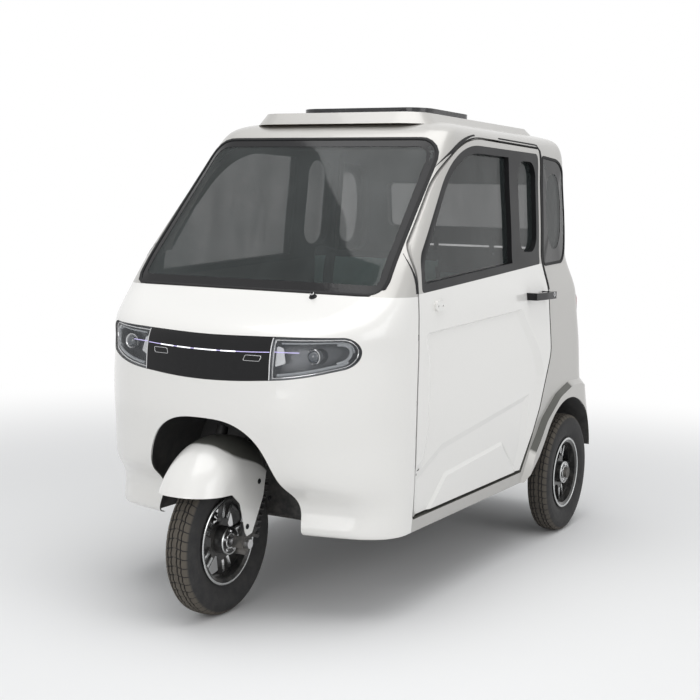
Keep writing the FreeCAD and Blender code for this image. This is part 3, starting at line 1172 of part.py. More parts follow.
# Rear axle, drums and leaf springs
axle_z = "sizes.tyre_diameter / 2"
drum_end = "(sizes.track / 2 - sizes.rear_hub_width / 2 - sizes.axle_nut_width / 2)"
hub_face = "(sizes.track / 2 + sizes.rear_hub_width / 2 + sizes.running_clearance)"
axle_items = [
    cylinder("axle_housing", "sizes.rear_tube_radius", (f"-{drum_end}", REAR_Y, axle_z),
             f"2 * {drum_end}", "X"),
    cylinder("motor_case", "sizes.motor_radius", ("-sizes.motor_width / 2", REAR_Y, axle_z),
             "sizes.motor_width", "X"),
    cylinder("half_shafts", "sizes.rear_shaft_radius", (f"-{hub_face}", REAR_Y, axle_z),
             f"2 * {hub_face}", "X"),
]
for side, sign in (("left", 1), ("right", -1)):
    drum = f"{drum_end} - sizes.drum_width" if sign > 0 else f"-{drum_end}"
    nut = hub_face if sign > 0 else f"-({hub_face} + sizes.axle_nut_width)"
    axle_items.append(cylinder(f"drum_{side}", "sizes.drum_radius", (drum, REAR_Y, axle_z),
                               "sizes.drum_width", "X"))
    axle_items.append(cylinder(f"shaft_nut_{side}", "sizes.shaft_nut_radius", (nut, REAR_Y, axle_z),
                               "sizes.axle_nut_width", "X"))
    axle_items.append(box(f"spring_seat_{side}",
                          (f"{sign} * {rail_x} - sizes.leaf_width / 2",
                           f"{REAR_Y} - sizes.leaf_width", axle_z),
                          (f"{sign} * {rail_x} + sizes.leaf_width / 2", f"{REAR_Y} + sizes.leaf_width",
                           f"{axle_z} + sizes.rear_tube_radius + sizes.leaf_thickness")))
keep_object(fused("rear_axle", axle_items))

LEAF_SHARES = [0.070, 0.112, 0.155]
SAG_SHARE = 0.025
leaf = size("leaf_thickness")
leaf_width = size("leaf_width")
spring_end = LEAF_SHARES[-1] * WHEELBASE
spring_radius = (spring_end ** 2 + up(SAG_SHARE) ** 2) / (2 * up(SAG_SHARE))
spring_side = size("rail_spacing") / 2 - leaf_width / 2
spring_middle = Vector(spring_side, REAR_AXLE, TYRE_RADIUS + size("rear_tube_radius") + leaf + spring_radius)


def leaf_drum(number):
    """Disc inside the outer face of a leaf counted from the lowest; all leaves bend about one centre."""
    return Part.makeCylinder(spring_radius - number * leaf, leaf_width, spring_middle, Vector(1, 0, 0))


spring_pieces = []
for number, share in enumerate(LEAF_SHARES):
    strip = block((0, REAR_AXLE - share * WHEELBASE, 0),
                  (FAR, REAR_AXLE + share * WHEELBASE, spring_middle.z))
    spring_pieces.append(leaf_drum(number).cut(leaf_drum(number + 1)).common(strip))
rail_foot = size("floor_bottom") + size("rail_kick") - size("rail_height")
leaf_middle = spring_radius - (len(LEAF_SHARES) - 0.5) * leaf
hanger_low = spring_middle.z - math.sqrt(leaf_middle ** 2 - spring_end ** 2)
for place in (REAR_AXLE - spring_end, REAR_AXLE + spring_end - leaf):
    spring_pieces.append(block((spring_side, place, hanger_low),
                               (spring_side + leaf_width, place + leaf, rail_foot)))
spring = spring_pieces[0].fuse(spring_pieces[1:]).removeSplitter()
keep("leaf_springs", both_sides(spring))

# Seats
battery_foot = "sizes.floor_bottom + sizes.floor_thickness"
keep_object(box("battery_box", ("-sizes.battery_width / 2", y_at(0.375), battery_foot),
                ("sizes.battery_width / 2", y_at(0.600), z_at(0.354))))


def padded(label, corners, width, rounding="sizes.cushion_round"):
    """Plain pad drawn in side view with rounded long edges."""
    body = new_body(label)
    feature = pad(body, sketch(body, f"{label}_side", "YZ_Plane", corners), width)
    doc.recompute()
    rounded = body.newObject("PartDesign::Fillet", f"{label}_rounding")
    rounded.Base = (feature, [f"Edge{i + 1}" for i in range(len(feature.Shape.Edges))])
    rounded.setExpression("Radius", rounding)
    body.Tip = rounded
    doc.recompute()
    return keep_object(body)


def seat_pair(name, width, front, rear, bottom, back_top, lean_back):
    """Cushion and backrest of one seat."""
    top = f"({bottom} + sizes.cushion_thickness)"
    padded(f"{name}_cushion", [(front, bottom), (rear, bottom), (rear, top), (front, top)], width)
    clear = "sizes.seat_clearance"
    low = f"({top} + {clear})"
    padded(f"{name}_backrest", [(f"{rear} - sizes.backrest_thickness", low), (rear, low),
                                (f"{rear} + {lean_back}", back_top),
                                (f"{rear} + {lean_back} - sizes.backrest_thickness * 0.7", back_top)], width)


seat_pair("driver_seat", "sizes.driver_seat_width", y_at(0.345), y_at(0.620),
          f"({z_at(0.354)} + sizes.seat_clearance)",
          z_at(0.730), "sizes.backrest_thickness * 0.5")
seat_pair("rear_bench", "sizes.bench_width", y_at(0.748), y_at(0.990),
          f"({z_at(0.380)} + sizes.seat_clearance)",
          z_at(0.684), "sizes.backrest_thickness * 0.5")

# Checks and files
doc.recompute()
failed = [item.Name for item in doc.Objects if {"Invalid", "Error"} & set(item.State)]
broken = [item.Label for item in sub_parts if item.Shape.isNull() or not item.Shape.isValid()]
if failed or broken:
    raise SystemExit(f"failed {failed} broken {broken}")
os.makedirs("parts", exist_ok=True)
for item in sub_parts:
    item.Shape.exportStep(f"parts/{item.Label}.step")
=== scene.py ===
"""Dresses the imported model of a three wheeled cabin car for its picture.

Metres, +Z up, +Y towards the tail, +X towards the vehicle's own left side.
"""
import logging
import math
from dataclasses import dataclass, replace
from enum import Enum
from typing import Callable, Iterable, Sequence

import bmesh
import bpy
from mathutils import Matrix, Vector
from mathutils.bvhtree import BVHTree


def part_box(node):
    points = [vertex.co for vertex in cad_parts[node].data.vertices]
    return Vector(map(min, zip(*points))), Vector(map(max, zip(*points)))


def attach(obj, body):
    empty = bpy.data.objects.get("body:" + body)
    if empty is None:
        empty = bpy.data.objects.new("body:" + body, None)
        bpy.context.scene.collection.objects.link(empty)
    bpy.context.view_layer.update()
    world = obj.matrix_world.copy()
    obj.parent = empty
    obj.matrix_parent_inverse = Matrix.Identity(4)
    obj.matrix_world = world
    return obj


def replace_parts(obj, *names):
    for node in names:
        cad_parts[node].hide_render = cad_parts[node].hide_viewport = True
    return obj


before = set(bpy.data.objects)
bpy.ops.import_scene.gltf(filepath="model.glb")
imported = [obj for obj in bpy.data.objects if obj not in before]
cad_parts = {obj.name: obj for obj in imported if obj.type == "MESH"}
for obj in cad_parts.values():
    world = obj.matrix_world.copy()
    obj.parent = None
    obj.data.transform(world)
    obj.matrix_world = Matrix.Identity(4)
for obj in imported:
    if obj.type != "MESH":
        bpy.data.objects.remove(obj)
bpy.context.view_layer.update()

log = logging.getLogger("cabin_car")
Colour = tuple[float, float, float]
Loop = list[Vector]
Place = tuple[float, float]
Places = Sequence[Place]
Found = tuple[Vector, Vector]
Finder = Callable[[float, float], Found | None]
Piece = bpy.types.Object
Socket = bpy.types.NodeSocket

X_WAY = Vector((1.0, 0.0, 0.0))
Y_WAY = Vector((0.0, 1.0, 0.0))
Z_WAY = Vector((0.0, 0.0, 1.0))
SIDES = ((1, "left"), (-1, "right"))

FRONT_AXLE = Vector((0.0, -0.8605, 0.228))
REAR_AXLE = Vector((0.0, 0.7395, 0.228))
RAKE = math.radians(20.0)
STEER_WAY = Vector((0.0, math.sin(RAKE), math.cos(RAKE)))
STEER_BACK = Vector((0.0, math.cos(RAKE), -math.sin(RAKE)))
CABIN_CENTRE = (0.0, 0.015, 0.95)
TINY = 1e-6
SHARP = 35.0


class Texture(Enum):
    """Small-scale relief and colour variation of a finish."""

    PEEL = "fine ripple of sprayed gloss paint"
    FLAKE = "sparkle of metallic paint"
    GRAIN = "pebbled grain of moulded plastic"
    RUBBER = "dull fine speckle"
    BRUSHED = "fine lines round an axle or along a bar"
    CAST = "rough cast or powder coat"
    LEATHER = "creased leather"
    STREAK = "faint wiping marks on glass"


@dataclass(frozen=True)
class Finish:
    """A finish of one material, with the amounts of its variation."""

    name: str
    colour: Colour
    roughness: float
    texture: Texture = Texture.GRAIN
    scale: float = 300.0
    relief: float = 0.2
    metallic: float = 0.0
    coat: float = 0.0
    alpha: float = 1.0
    variation: float = 0.05
    dust: float = 0.0
    lining: Colour | None = None
    glow: float = 0.0
    specular: float = 0.5
    worn: bool = False


class Graph:
    """A short way to add and join the nodes of a tree."""

    def __init__(self, tree: bpy.types.NodeTree) -> None:
        """Keeps the tree that the nodes go into."""
        self.tree = tree

    def put(self, socket: Socket, value: object) -> None:
        """Gives a socket a link if the value is a socket, or else a number."""
        if isinstance(value, Socket):
            self.tree.links.new(value, socket)
        else:
            socket.default_value = value

    def node(self, kind: str, *values: object, settings: dict | None = None,
             **named: object) -> bpy.types.Node:
        """Adds a node.

        Args:
            kind: The node's type.
            values: Values of its first sockets in order; None leaves one alone.
            settings: Its own properties.
            named: Values by socket name, with _ for a space.

        Returns:
            The new node.
        """
        item = self.tree.nodes.new(kind)
        for key, value in (settings or {}).items():
            setattr(item, key, value)
        for socket, value in zip(item.inputs, values):
            if value is not None:
                self.put(socket, value)
        for key, value in named.items():
            self.put(item.inputs[key.replace("_", " ")], value)
        return item

    def math(self, operation: str, *values: object, clamp: bool = False) -> Socket:
        """The result of a math node."""
        settings = {"operation": operation, "use_clamp": clamp}
        return self.node("ShaderNodeMath", *values, settings=settings).outputs[0]

    def weigh(self, first: object, first_share: float, second: object, second_share: float) -> object:
        """The sum of two values, each with its share."""
        parts = (self.math("MULTIPLY", first, first_share), self.math("MULTIPLY", second, second_share))
        return self.math("ADD", *parts)

    def blend(self, factor: object, first: object, second: object) -> Socket:
        """A colour between two others."""
        item = self.node("ShaderNodeMix", settings={"data_type": "RGBA"})
        sockets = [s for s in item.inputs if s.type == "RGBA"]
        self.put(item.inputs[0], factor)
        self.put(sockets[0], first)
        self.put(sockets[1], second)
        return next(s for s in item.outputs if s.type == "RGBA")

    def step(self, value: object, low: float, high: float, start: float = 0.0, end: float = 1.0) -> object:
        """A value mapped smoothly from one range to another."""
        settings = {"interpolation_type": "SMOOTHSTEP"}
        return self.node("ShaderNodeMapRange", value, low, high, start, end, settings=settings).outputs[0]


def rgba(colour: Colour, light: float = 1.0) -> tuple[float, float, float, float]:
    """A colour with its alpha, made lighter or darker."""
    return (*(min(1.0, part * light) for part in colour), 1.0)


class MaterialShop:
    """Makes each finish's material once."""

    DUST: Colour = (0.42, 0.39, 0.35)
    DUST_HEIGHTS = (0.10, 0.62, 1.0, 0.12)
    DUST_SPECKS = {"Scale": 28.0, "Detail": 6.0, "Roughness": 0.7}
    SPECK_RANGE = (0.3, 0.75)
    DUST_ROUGHNESS = 0.5
    TREAD_DUST: Colour = (0.120, 0.105, 0.085)
    WEAR_RANGE = (0.25, 0.6, 0.45, 0.75)
    MOTTLE = {"Scale": 3.5, "Detail": 4.0}
    STRETCH = {Texture.BRUSHED: (0.04, 1.0, 1.0), Texture.STREAK: (1.0, 1.0, 0.25)}
    CELL_RANGE = (0.02, 0.45)
    FINE_SCALE = 2.5
    TONE_RANGE = (0.15, 0.85)
    ROUGH_RANGE = (0.1, 0.9)
    ROUGH_SPREAD = 0.15
    INSIDE_RANGE = (-0.03, -0.08)
    LINING_VARIATION = 0.06
    LINING_ROUGHNESS = 0.6
    COAT_ROUGHNESS = 0.04
    SMEAR_RANGE = (0.35, 0.75)
    SMEAR_SHARES = (0.9, 1.12)
    BUMP_REACH = 0.4

    def __init__(self) -> None:
        """Starts with no material."""
        self.made: dict[Finish, bpy.types.Material] = {}

    def get(self, finish: Finish) -> bpy.types.Material:
        """The material of a finish."""
        if finish not in self.made:
            self.made[finish] = self.make(finish)
        return self.made[finish]

    def relief(self, graph: Graph, finish: Finish, place: Socket) -> Socket:
        """The height pattern of a finish's texture."""
        texture, scale = finish.texture, finish.scale
        stretch = self.STRETCH.get(texture, (1.0, 1.0, 1.0))
        mapped = graph.node("ShaderNodeMapping", place, Scale=stretch).outputs[0]
        if texture in (Texture.GRAIN, Texture.LEATHER):
            feature = "DISTANCE_TO_EDGE" if texture is Texture.LEATHER else "F1"
            cells = graph.node("ShaderNodeTexVoronoi", settings={"feature": feature}, Vector=mapped,
                               Scale=scale)
            height = graph.step(cells.outputs["Distance"], *self.CELL_RANGE)
            fine = graph.node("ShaderNodeTexNoise", Vector=mapped, Scale=scale * self.FINE_SCALE,
                              Detail=2.0)
            return graph.weigh(height, 0.8, fine.outputs[0], 0.3)
        if texture is Texture.FLAKE:
            return graph.node("ShaderNodeTexVoronoi", settings={"feature": "SMOOTH_F1"}, Vector=mapped,
                              Scale=scale).outputs["Distance"]
        detail = 1.0 if texture is Texture.PEEL else 4.0
        return graph.node("ShaderNodeTexNoise", Vector=mapped, Scale=scale, Detail=detail,
                          Roughness=0.6).outputs[0]

    def dusted(self, graph: Graph, finish: Finish, place: object, colour: object, rough: object) -> tuple:
        """The colour and roughness with dust that thins out upwards."""
        level = graph.node("ShaderNodeSeparateXYZ", place).outputs[2]
        low = graph.step(level, *self.DUST_HEIGHTS)
        specks = graph.node("ShaderNodeTexNoise", Vector=place, **self.DUST_SPECKS).outputs[0]
        cover = graph.math("MULTIPLY", low, graph.step(specks, *self.SPECK_RANGE))
        cover = graph.math("MULTIPLY", cover, finish.dust)
        more = graph.math("MULTIPLY", cover, self.DUST_ROUGHNESS)
        return graph.blend(cover, colour, rgba(self.DUST)), graph.math("ADD", rough, more, clamp=True)

    def lined(self, graph: Graph, finish: Finish, coords: bpy.types.Node, tone: object, colour: object,
              rough: object) -> tuple:
        """The colour and roughness with a lining on faces that look into the cabin."""
        away = {"operation": "SUBTRACT"}
        way = graph.node("ShaderNodeVectorMath", coords.outputs["Object"], CABIN_CENTRE,
                         settings=away).outputs[0]
        facing = graph.node("ShaderNodeVectorMath", coords.outputs["Normal"], way,
                            settings={"operation": "DOT_PRODUCT"}).outputs["Value"]
        inside = graph.step(facing, *self.INSIDE_RANGE)
        darker, lighter = (rgba(finish.lining, 1 + sign * self.LINING_VARIATION) for sign in (-1, 1))
        colour = graph.blend(inside, colour, graph.blend(tone, darker, lighter))
        return colour, graph.math("MAXIMUM", rough, graph.math("MULTIPLY", inside, self.LINING_ROUGHNESS))

    def make(self, finish: Finish) -> bpy.types.Material:
        """Builds the node tree of a finish.

        Args:
            finish: What the surface looks like.

        Returns:
            The new material.
        """
        material = bpy.data.materials.new(finish.name)
        material.use_nodes = True
        graph = Graph(material.node_tree)
        shader = material.node_tree.nodes["Principled BSDF"].inputs
        coords = graph.node("ShaderNodeTexCoord")
        place = coords.outputs["Object"]
        mottle = graph.node("ShaderNodeTexNoise", Vector=place, **self.MOTTLE).outputs[0]
        height = self.relief(graph, finish, place)
        tone = graph.step(graph.weigh(mottle, 0.6, height, 0.4), *self.TONE_RANGE)
        darker, lighter = (rgba(finish.colour, 1 + sign * finish.variation) for sign in (-1, 1))
        colour = graph.blend(tone, darker, lighter)
        spread = min(self.ROUGH_SPREAD, finish.variation)
        least, most = (min(1.0, finish.roughness * (1 + sign * spread)) for sign in (-1, 1))
        rough = graph.step(mottle, *self.ROUGH_RANGE, least, most)
        if finish.dust:
            colour, rough = self.dusted(graph, finish, place, colour, rough)
        if finish.worn:
            wear = graph.node("ShaderNodeAttribute", settings={"attribute_name": "wear"}).outputs["Fac"]
            rubbed = graph.math("MULTIPLY", wear, graph.step(mottle, *self.WEAR_RANGE))
            colour = graph.blend(rubbed, colour, rgba(self.TREAD_DUST))
        if finish.lining:
            colour, rough = self.lined(graph, finish, coords, tone, colour, rough)
        graph.put(shader["Base Color"], colour)
        graph.put(shader["Roughness"], rough)
        shader["Metallic"].default_value = finish.metallic
        shader["Specular IOR Level"].default_value = finish.specular
        shader["Coat Weight"].default_value = finish.coat
        shader["Coat Roughness"].default_value = self.COAT_ROUGHNESS
        if finish.glow:
            shader["Emission Color"].default_value = rgba(finish.colour)
            shader["Emission Strength"].default_value = finish.glow
        if finish.alpha < 1.0:
            least, most = (min(1.0, finish.alpha * share) for share in self.SMEAR_SHARES)
            graph.put(shader["Alpha"], graph.step(height, *self.SMEAR_RANGE, least, most))
        if finish.relief:
            bump = graph.node("ShaderNodeBump", Strength=finish.relief,
                              Distance=self.BUMP_REACH / finish.scale, Height=height)
            graph.put(shader["Normal"], bump.outputs[0])
        return material


shop = MaterialShop()

WHITE_PAINT = Finish("white_paint", (0.80, 0.79, 0.765), 0.28, Texture.PEEL, 90.0, 0.03, coat=0.7,
                     variation=0.008, lining=(0.085, 0.085, 0.075))
GREY_PAINT = Finish("grey_paint", (0.455, 0.445, 0.425), 0.36, Texture.FLAKE, 900.0, 0.05, 0.35, 0.5,
                    variation=0.05, dust=0.08, lining=(0.085, 0.085, 0.075))
ROOF_PAINT = replace(GREY_PAINT, name="roof_paint", lining=(0.23, 0.18, 0.12))
DOOR_GREY = replace(GREY_PAINT, name="door_grey", lining=(0.045, 0.045, 0.045))
BLACK_GLOSS = Finish("black_gloss", (0.010, 0.010, 0.011), 0.10, Texture.PEEL, 60.0, 0.02, variation=0.2,
                     specular=0.22)
BLACK_SATIN = Finish("black_satin", (0.011, 0.011, 0.012), 0.42, Texture.GRAIN, 900.0, 0.08, variation=0.15,
                     specular=0.2)
BLACK_PLASTIC = Finish("black_plastic", (0.030, 0.030, 0.031), 0.55, Texture.GRAIN, 420.0, 0.35,
                       variation=0.18, dust=0.25)
SEAL_RUBBER = Finish("seal_rubber", (0.012, 0.012, 0.013), 0.62, Texture.RUBBER, 800.0, 0.12, variation=0.2,
                     dust=0.05, specular=0.25)
TYRE_RUBBER = Finish("tyre_rubber", (0.026, 0.026, 0.027), 0.72, Texture.RUBBER, 700.0, 0.35,
                     variation=0.15, dust=0.05, specular=0.3, worn=True)
WINDOW_GLASS = Finish("window_glass", (0.035, 0.042, 0.042), 0.03, Texture.STREAK, 9.0, 0.0, alpha=0.50,
                      variation=0.3, specular=0.45)
TINTED_GLASS = Finish("tinted_glass", (0.012, 0.012, 0.014), 0.05, Texture.STREAK, 9.0, 0.0, alpha=0.93,
                      variation=0.2)
CLEAR_LENS = Finish("clear_lens", (0.20, 0.21, 0.22), 0.03, Texture.STREAK, 14.0, 0.0, alpha=0.14,
                    variation=0.05)
RED_LENS = Finish("red_lens", (0.36, 0.006, 0.008), 0.16, Texture.GRAIN, 260.0, 0.4, coat=0.2,
                  variation=0.2, specular=0.35)
LAMP_BOWL = Finish("lamp_bowl", (0.13, 0.135, 0.145), 0.30, Texture.BRUSHED, 260.0, 0.12, metallic=0.5,
                   variation=0.1)
BEIGE_PLASTIC = Finish("beige_plastic", (0.105, 0.100, 0.088), 0.62, Texture.GRAIN, 420.0, 0.35,
                       variation=0.06)

FLOOR_PLASTIC = replace(BLACK_PLASTIC, name="floor_plastic", scale=200.0, relief=0.5)
BLACK_STEEL = Finish("black_steel", (0.028, 0.028, 0.029), 0.45, Texture.CAST, 240.0, 0.18, 0.3,
                     variation=0.2, dust=0.35)
BRIGHT_STEEL = Finish("bright_steel", (0.62, 0.62, 0.63), 0.26, Texture.BRUSHED, 320.0, 0.10, 1.0,
                      variation=0.08, dust=0.10)
CHROME = Finish("chrome", (0.78, 0.78, 0.79), 0.10, Texture.BRUSHED, 220.0, 0.03, 1.0, variation=0.05,
                dust=0.05)
CAST_IRON = Finish("cast_iron", (0.055, 0.054, 0.053), 0.62, Texture.CAST, 160.0, 0.5, 0.5, variation=0.25,
                   dust=0.4)
RIM_BLACK = Finish("rim_black", (0.018, 0.019, 0.020), 0.30, Texture.PEEL, 140.0, 0.10, 0.3, 0.4,
                   variation=0.2, dust=0.16)
RIM_FACE = Finish("rim_face", (0.62, 0.63, 0.63), 0.24, Texture.BRUSHED, 420.0, 0.12, 1.0, variation=0.1,
                  dust=0.10)
MINT_LEATHER = Finish("mint_leather", (0.40, 0.66, 0.60), 0.46, Texture.LEATHER, 330.0, 0.30,
                      variation=0.06)
DARK_LEATHER = Finish("dark_leather", (0.085, 0.088, 0.092), 0.50, Texture.LEATHER, 330.0, 0.35,
                      variation=0.12)

BATTERY_CASE = replace(BLACK_PLASTIC, name="battery_case", colour=(0.05, 0.05, 0.052), scale=260.0)


@dataclass(frozen=True)
class Lamp:
    """A square soft box that points at a spot."""

    name: str
    place: tuple[float, float, float]
    aim: tuple[float, float, float]
    span: float
    power: float


LAMPS = (
    Lamp("top_light", (0.4, -0.6, 4.6), (0.0, 0.0, 0.6), 4.0, 104.0),
    Lamp("front_light", (0.8, -5.6, 1.9), (0.0, -0.6, 0.6), 2.6, 46.0),
    Lamp("side_light", (5.6, -1.2, 2.7), (0.3, 0.1, 0.8), 2.8, 42.0),
)


@dataclass
class Studio:
    """Camera, lights and the pale floor."""

    camera_place: Vector = Vector((2.215, -4.0445, 1.237))
    yaw: float = -29.1476
    pitch: float = -6.2579
    roll: float = 1.3584
    lens: float = 66.83
    sensor: float = 36.0
    floor_reach: float = 30.0
    floor_tone: float = 0.86
    floor_fade: tuple[float, float] = (1.6, 4.5)
    world_light: float = 0.56
    world_tint: tuple[float, float, float, float] = (0.97, 0.985, 1.0, 1.0)

    def set_camera(self) -> None:
        """Places the camera where the photograph was taken from."""
        yaw, pitch, roll = (math.radians(angle) for angle in (self.yaw, self.pitch, self.roll))
        ahead = Vector((math.sin(yaw) * math.cos(pitch), math.cos(yaw) * math.cos(pitch), math.sin(pitch)))
        level = Vector((math.cos(yaw), -math.sin(yaw), 0.0))
        upright = level.cross(ahead)
        right = level * math.cos(roll) + upright * math.sin(roll)
        top = upright * math.cos(roll) - level * math.sin(roll)
        data = bpy.data.cameras.new("photo_camera")
        data.sensor_fit, data.sensor_width, data.lens = "HORIZONTAL", self.sensor, self.lens
        data.clip_start, data.clip_end = 0.05, 200.0
        camera = bpy.data.objects.new("photo_camera", data)
        bpy.context.scene.collection.objects.link(camera)
        turned = Matrix((right, top, -ahead)).transposed().to_4x4()
        camera.matrix_world = Matrix.Translation(self.camera_place) @ turned
        bpy.context.scene.camera = camera

    def seen_directly(self, graph: Graph) -> Socket:
        """1 for a ray that comes straight from the camera, a mirror or through glass."""
        light = graph.node("ShaderNodeLightPath").outputs
        seen = graph.math("MAXIMUM", light["Is Camera Ray"], light["Is Glossy Ray"])
        return graph.math("MAXIMUM", seen, light["Is Transmission Ray"])

    def set_world(self) -> None:
        """White surroundings that light the object more softly than they look."""
        world = bpy.data.worlds.new("studio")
        bpy.context.scene.world = world
        world.use_nodes = True
        world.node_tree.nodes.clear()
        graph = Graph(world.node_tree)
        soft = graph.node("ShaderNodeBackground", self.world_tint, self.world_light).outputs[0]
        white = graph.node("ShaderNodeBackground", (1.0, 1.0, 1.0, 1.0), 1.0).outputs[0]
        mixed = graph.node("ShaderNodeMixShader", self.seen_directly(graph), soft, white).outputs[0]
        graph.node("ShaderNodeOutputWorld", mixed)

    def add_floor(self) -> None:
        """A pale floor that fades to white away from the object."""
        mesh = bpy.data.meshes.new("floor")
        r = self.floor_reach
        mesh.from_pydata([(-r, -r, 0), (r, -r, 0), (r, r, 0), (-r, r, 0)], [], [(0, 1, 2, 3)])
        floor = bpy.data.objects.new("floor", mesh)
        bpy.context.scene.collection.objects.link(floor)
        material = bpy.data.materials.new("floor")
        material.use_nodes = True
        nodes = material.node_tree.nodes
        nodes.clear()
        graph = Graph(material.node_tree)
        place = graph.node("ShaderNodeTexCoord").outputs["Object"]
        away = graph.node("ShaderNodeVectorMath", place, settings={"operation": "LENGTH"}).outputs["Value"]
        fade = graph.math("MULTIPLY", graph.step(away, *self.floor_fade), self.seen_directly(graph))
        matt = graph.node("ShaderNodeBsdfDiffuse", rgba((1, 1, 1), self.floor_tone)).outputs[0]
        glow = graph.node("ShaderNodeEmission", (1, 1, 1, 1), 1.0).outputs[0]
        mixed = graph.node("ShaderNodeMixShader", fade, matt, glow).outputs[0]
        graph.node("ShaderNodeOutputMaterial", mixed)
        mesh.materials.append(material)

    def add_lamp(self, lamp: Lamp) -> None:
        """Adds a lamp."""
        data = bpy.data.lights.new(lamp.name, "AREA")
        data.shape, data.size, data.energy = "SQUARE", lamp.span, lamp.power
        item = bpy.data.objects.new(lamp.name, data)
        bpy.context.scene.collection.objects.link(item)
        way = Vector(lamp.aim) - Vector(lamp.place)
        turned = way.to_track_quat("-Z", "Y").to_matrix().to_4x4()
        item.matrix_world = Matrix.Translation(lamp.place) @ turned

    def build(self) -> None:
        """Sets up everything that isn't the object."""
        bpy.context.scene.view_settings.view_transform = "Standard"
        self.set_camera()
        self.set_world()
        self.add_floor()
        for lamp in LAMPS:
            self.add_lamp(lamp)


class Skin:
    """Finds points on the surfaces of the carried-over nodes."""

    FAR = 4.0

    def __init__(self, *nodes: str) -> None:
        """Gathers the nodes' faces into one search tree."""
        corners: Loop = []
        faces: list[list[int]] = []
        for node in nodes:
            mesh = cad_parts[node].data
            first = len(corners)
            corners += [vertex.co.copy() for vertex in mesh.vertices]
            faces += [[first + index for index in face.vertices] for face in mesh.polygons]
        self.tree = BVHTree.FromPolygons(corners, faces)

    def hit(self, start: Vector, way: Vector) -> Found | None:
        """The first point that a ray meets, and the surface's outward direction there."""
        place, normal, _, _ = self.tree.ray_cast(start, way)
        if place is None:
            return None
        return place, (normal if normal.dot(way) < 0 else -normal)

    def front(self, x: float, z: float) -> Found | None:
        """The frontmost point at a place in the front view."""
        return self.hit(Vector((x, -self.FAR, z)), Y_WAY)

    def rear(self, x: float, z: float) -> Found | None:
        """The rearmost point at a place in the rear view."""
        return self.hit(Vector((x, self.FAR, z)), -Y_WAY)

    def side(self, y: float, z: float, sign: int) -> Found | None:
        """The outermost point at a place in the side view."""
        return self.hit(Vector((sign * self.FAR, y, z)), X_WAY * -sign)

    def top(self, x: float, y: float) -> Found | None:
        """The highest point at a place in the plan."""
        return self.hit(Vector((x, y, self.FAR)), -Z_WAY)

    def on_side(self, sign: int) -> Finder:
        """The search in the side view, for one side of the car."""
        return lambda y, z: self.side(y, z, sign)


def smooth_line(points: Sequence[Vector], closed: bool = False, steps: int = 6) -> Loop:
    """Points along a curve through the given ones."""
    count = len(points)
    line: Loop = []
    for index in range(count if closed else count - 1):
        places = [index + shift for shift in (-1, 0, 1, 2)]
        places = [place % count if closed else min(max(place, 0), count - 1) for place in places]
        a, b, c, d = (Vector(points[place]) for place in places)
        for step in range(steps):
            t = step / steps
            line.append(0.5 * (2 * b + (c - a) * t + (2 * a - 5 * b + 4 * c - d) * t * t
                               + (3 * b - a - 3 * c + d) * t ** 3))
    if not closed:
        line.append(Vector(points[-1]))
    return line


def even_line(points: Sequence[Vector], count: int, closed: bool = False) -> Loop:
    """A number of points at equal distances along a line."""
    way = list(points) + ([points[0]] if closed else [])
    lengths = [0.0]
    for first, second in zip(way, way[1:]):
        lengths.append(lengths[-1] + (second - first).length)
    line: Loop = []
    place = 0
    for step in range(count):
        goal = lengths[-1] * step / (count if closed else count - 1)
        while place < len(way) - 2 and lengths[place + 1] < goal:
            place += 1
        span = lengths[place + 1] - lengths[place]
        line.append(way[place].lerp(way[place + 1], (goal - lengths[place]) / span if span else 0.0))
    return line


def circle(radius: float, steps: int) -> list[Place]:
    """Points of a circle in a plane."""
    turns = [2 * math.pi * step / steps for step in range(steps)]
    return [(radius * math.cos(turn), radius * math.sin(turn)) for turn in turns]


def raised(half: float, top: float, taper: float = 0.0, foot: float = -0.0010) -> list[Place]:
    """The section of a flat bar on a surface, narrower at its top by the taper on both sides."""
    return [(-half, foot), (half, foot), (half - taper, top), (taper - half, top)]


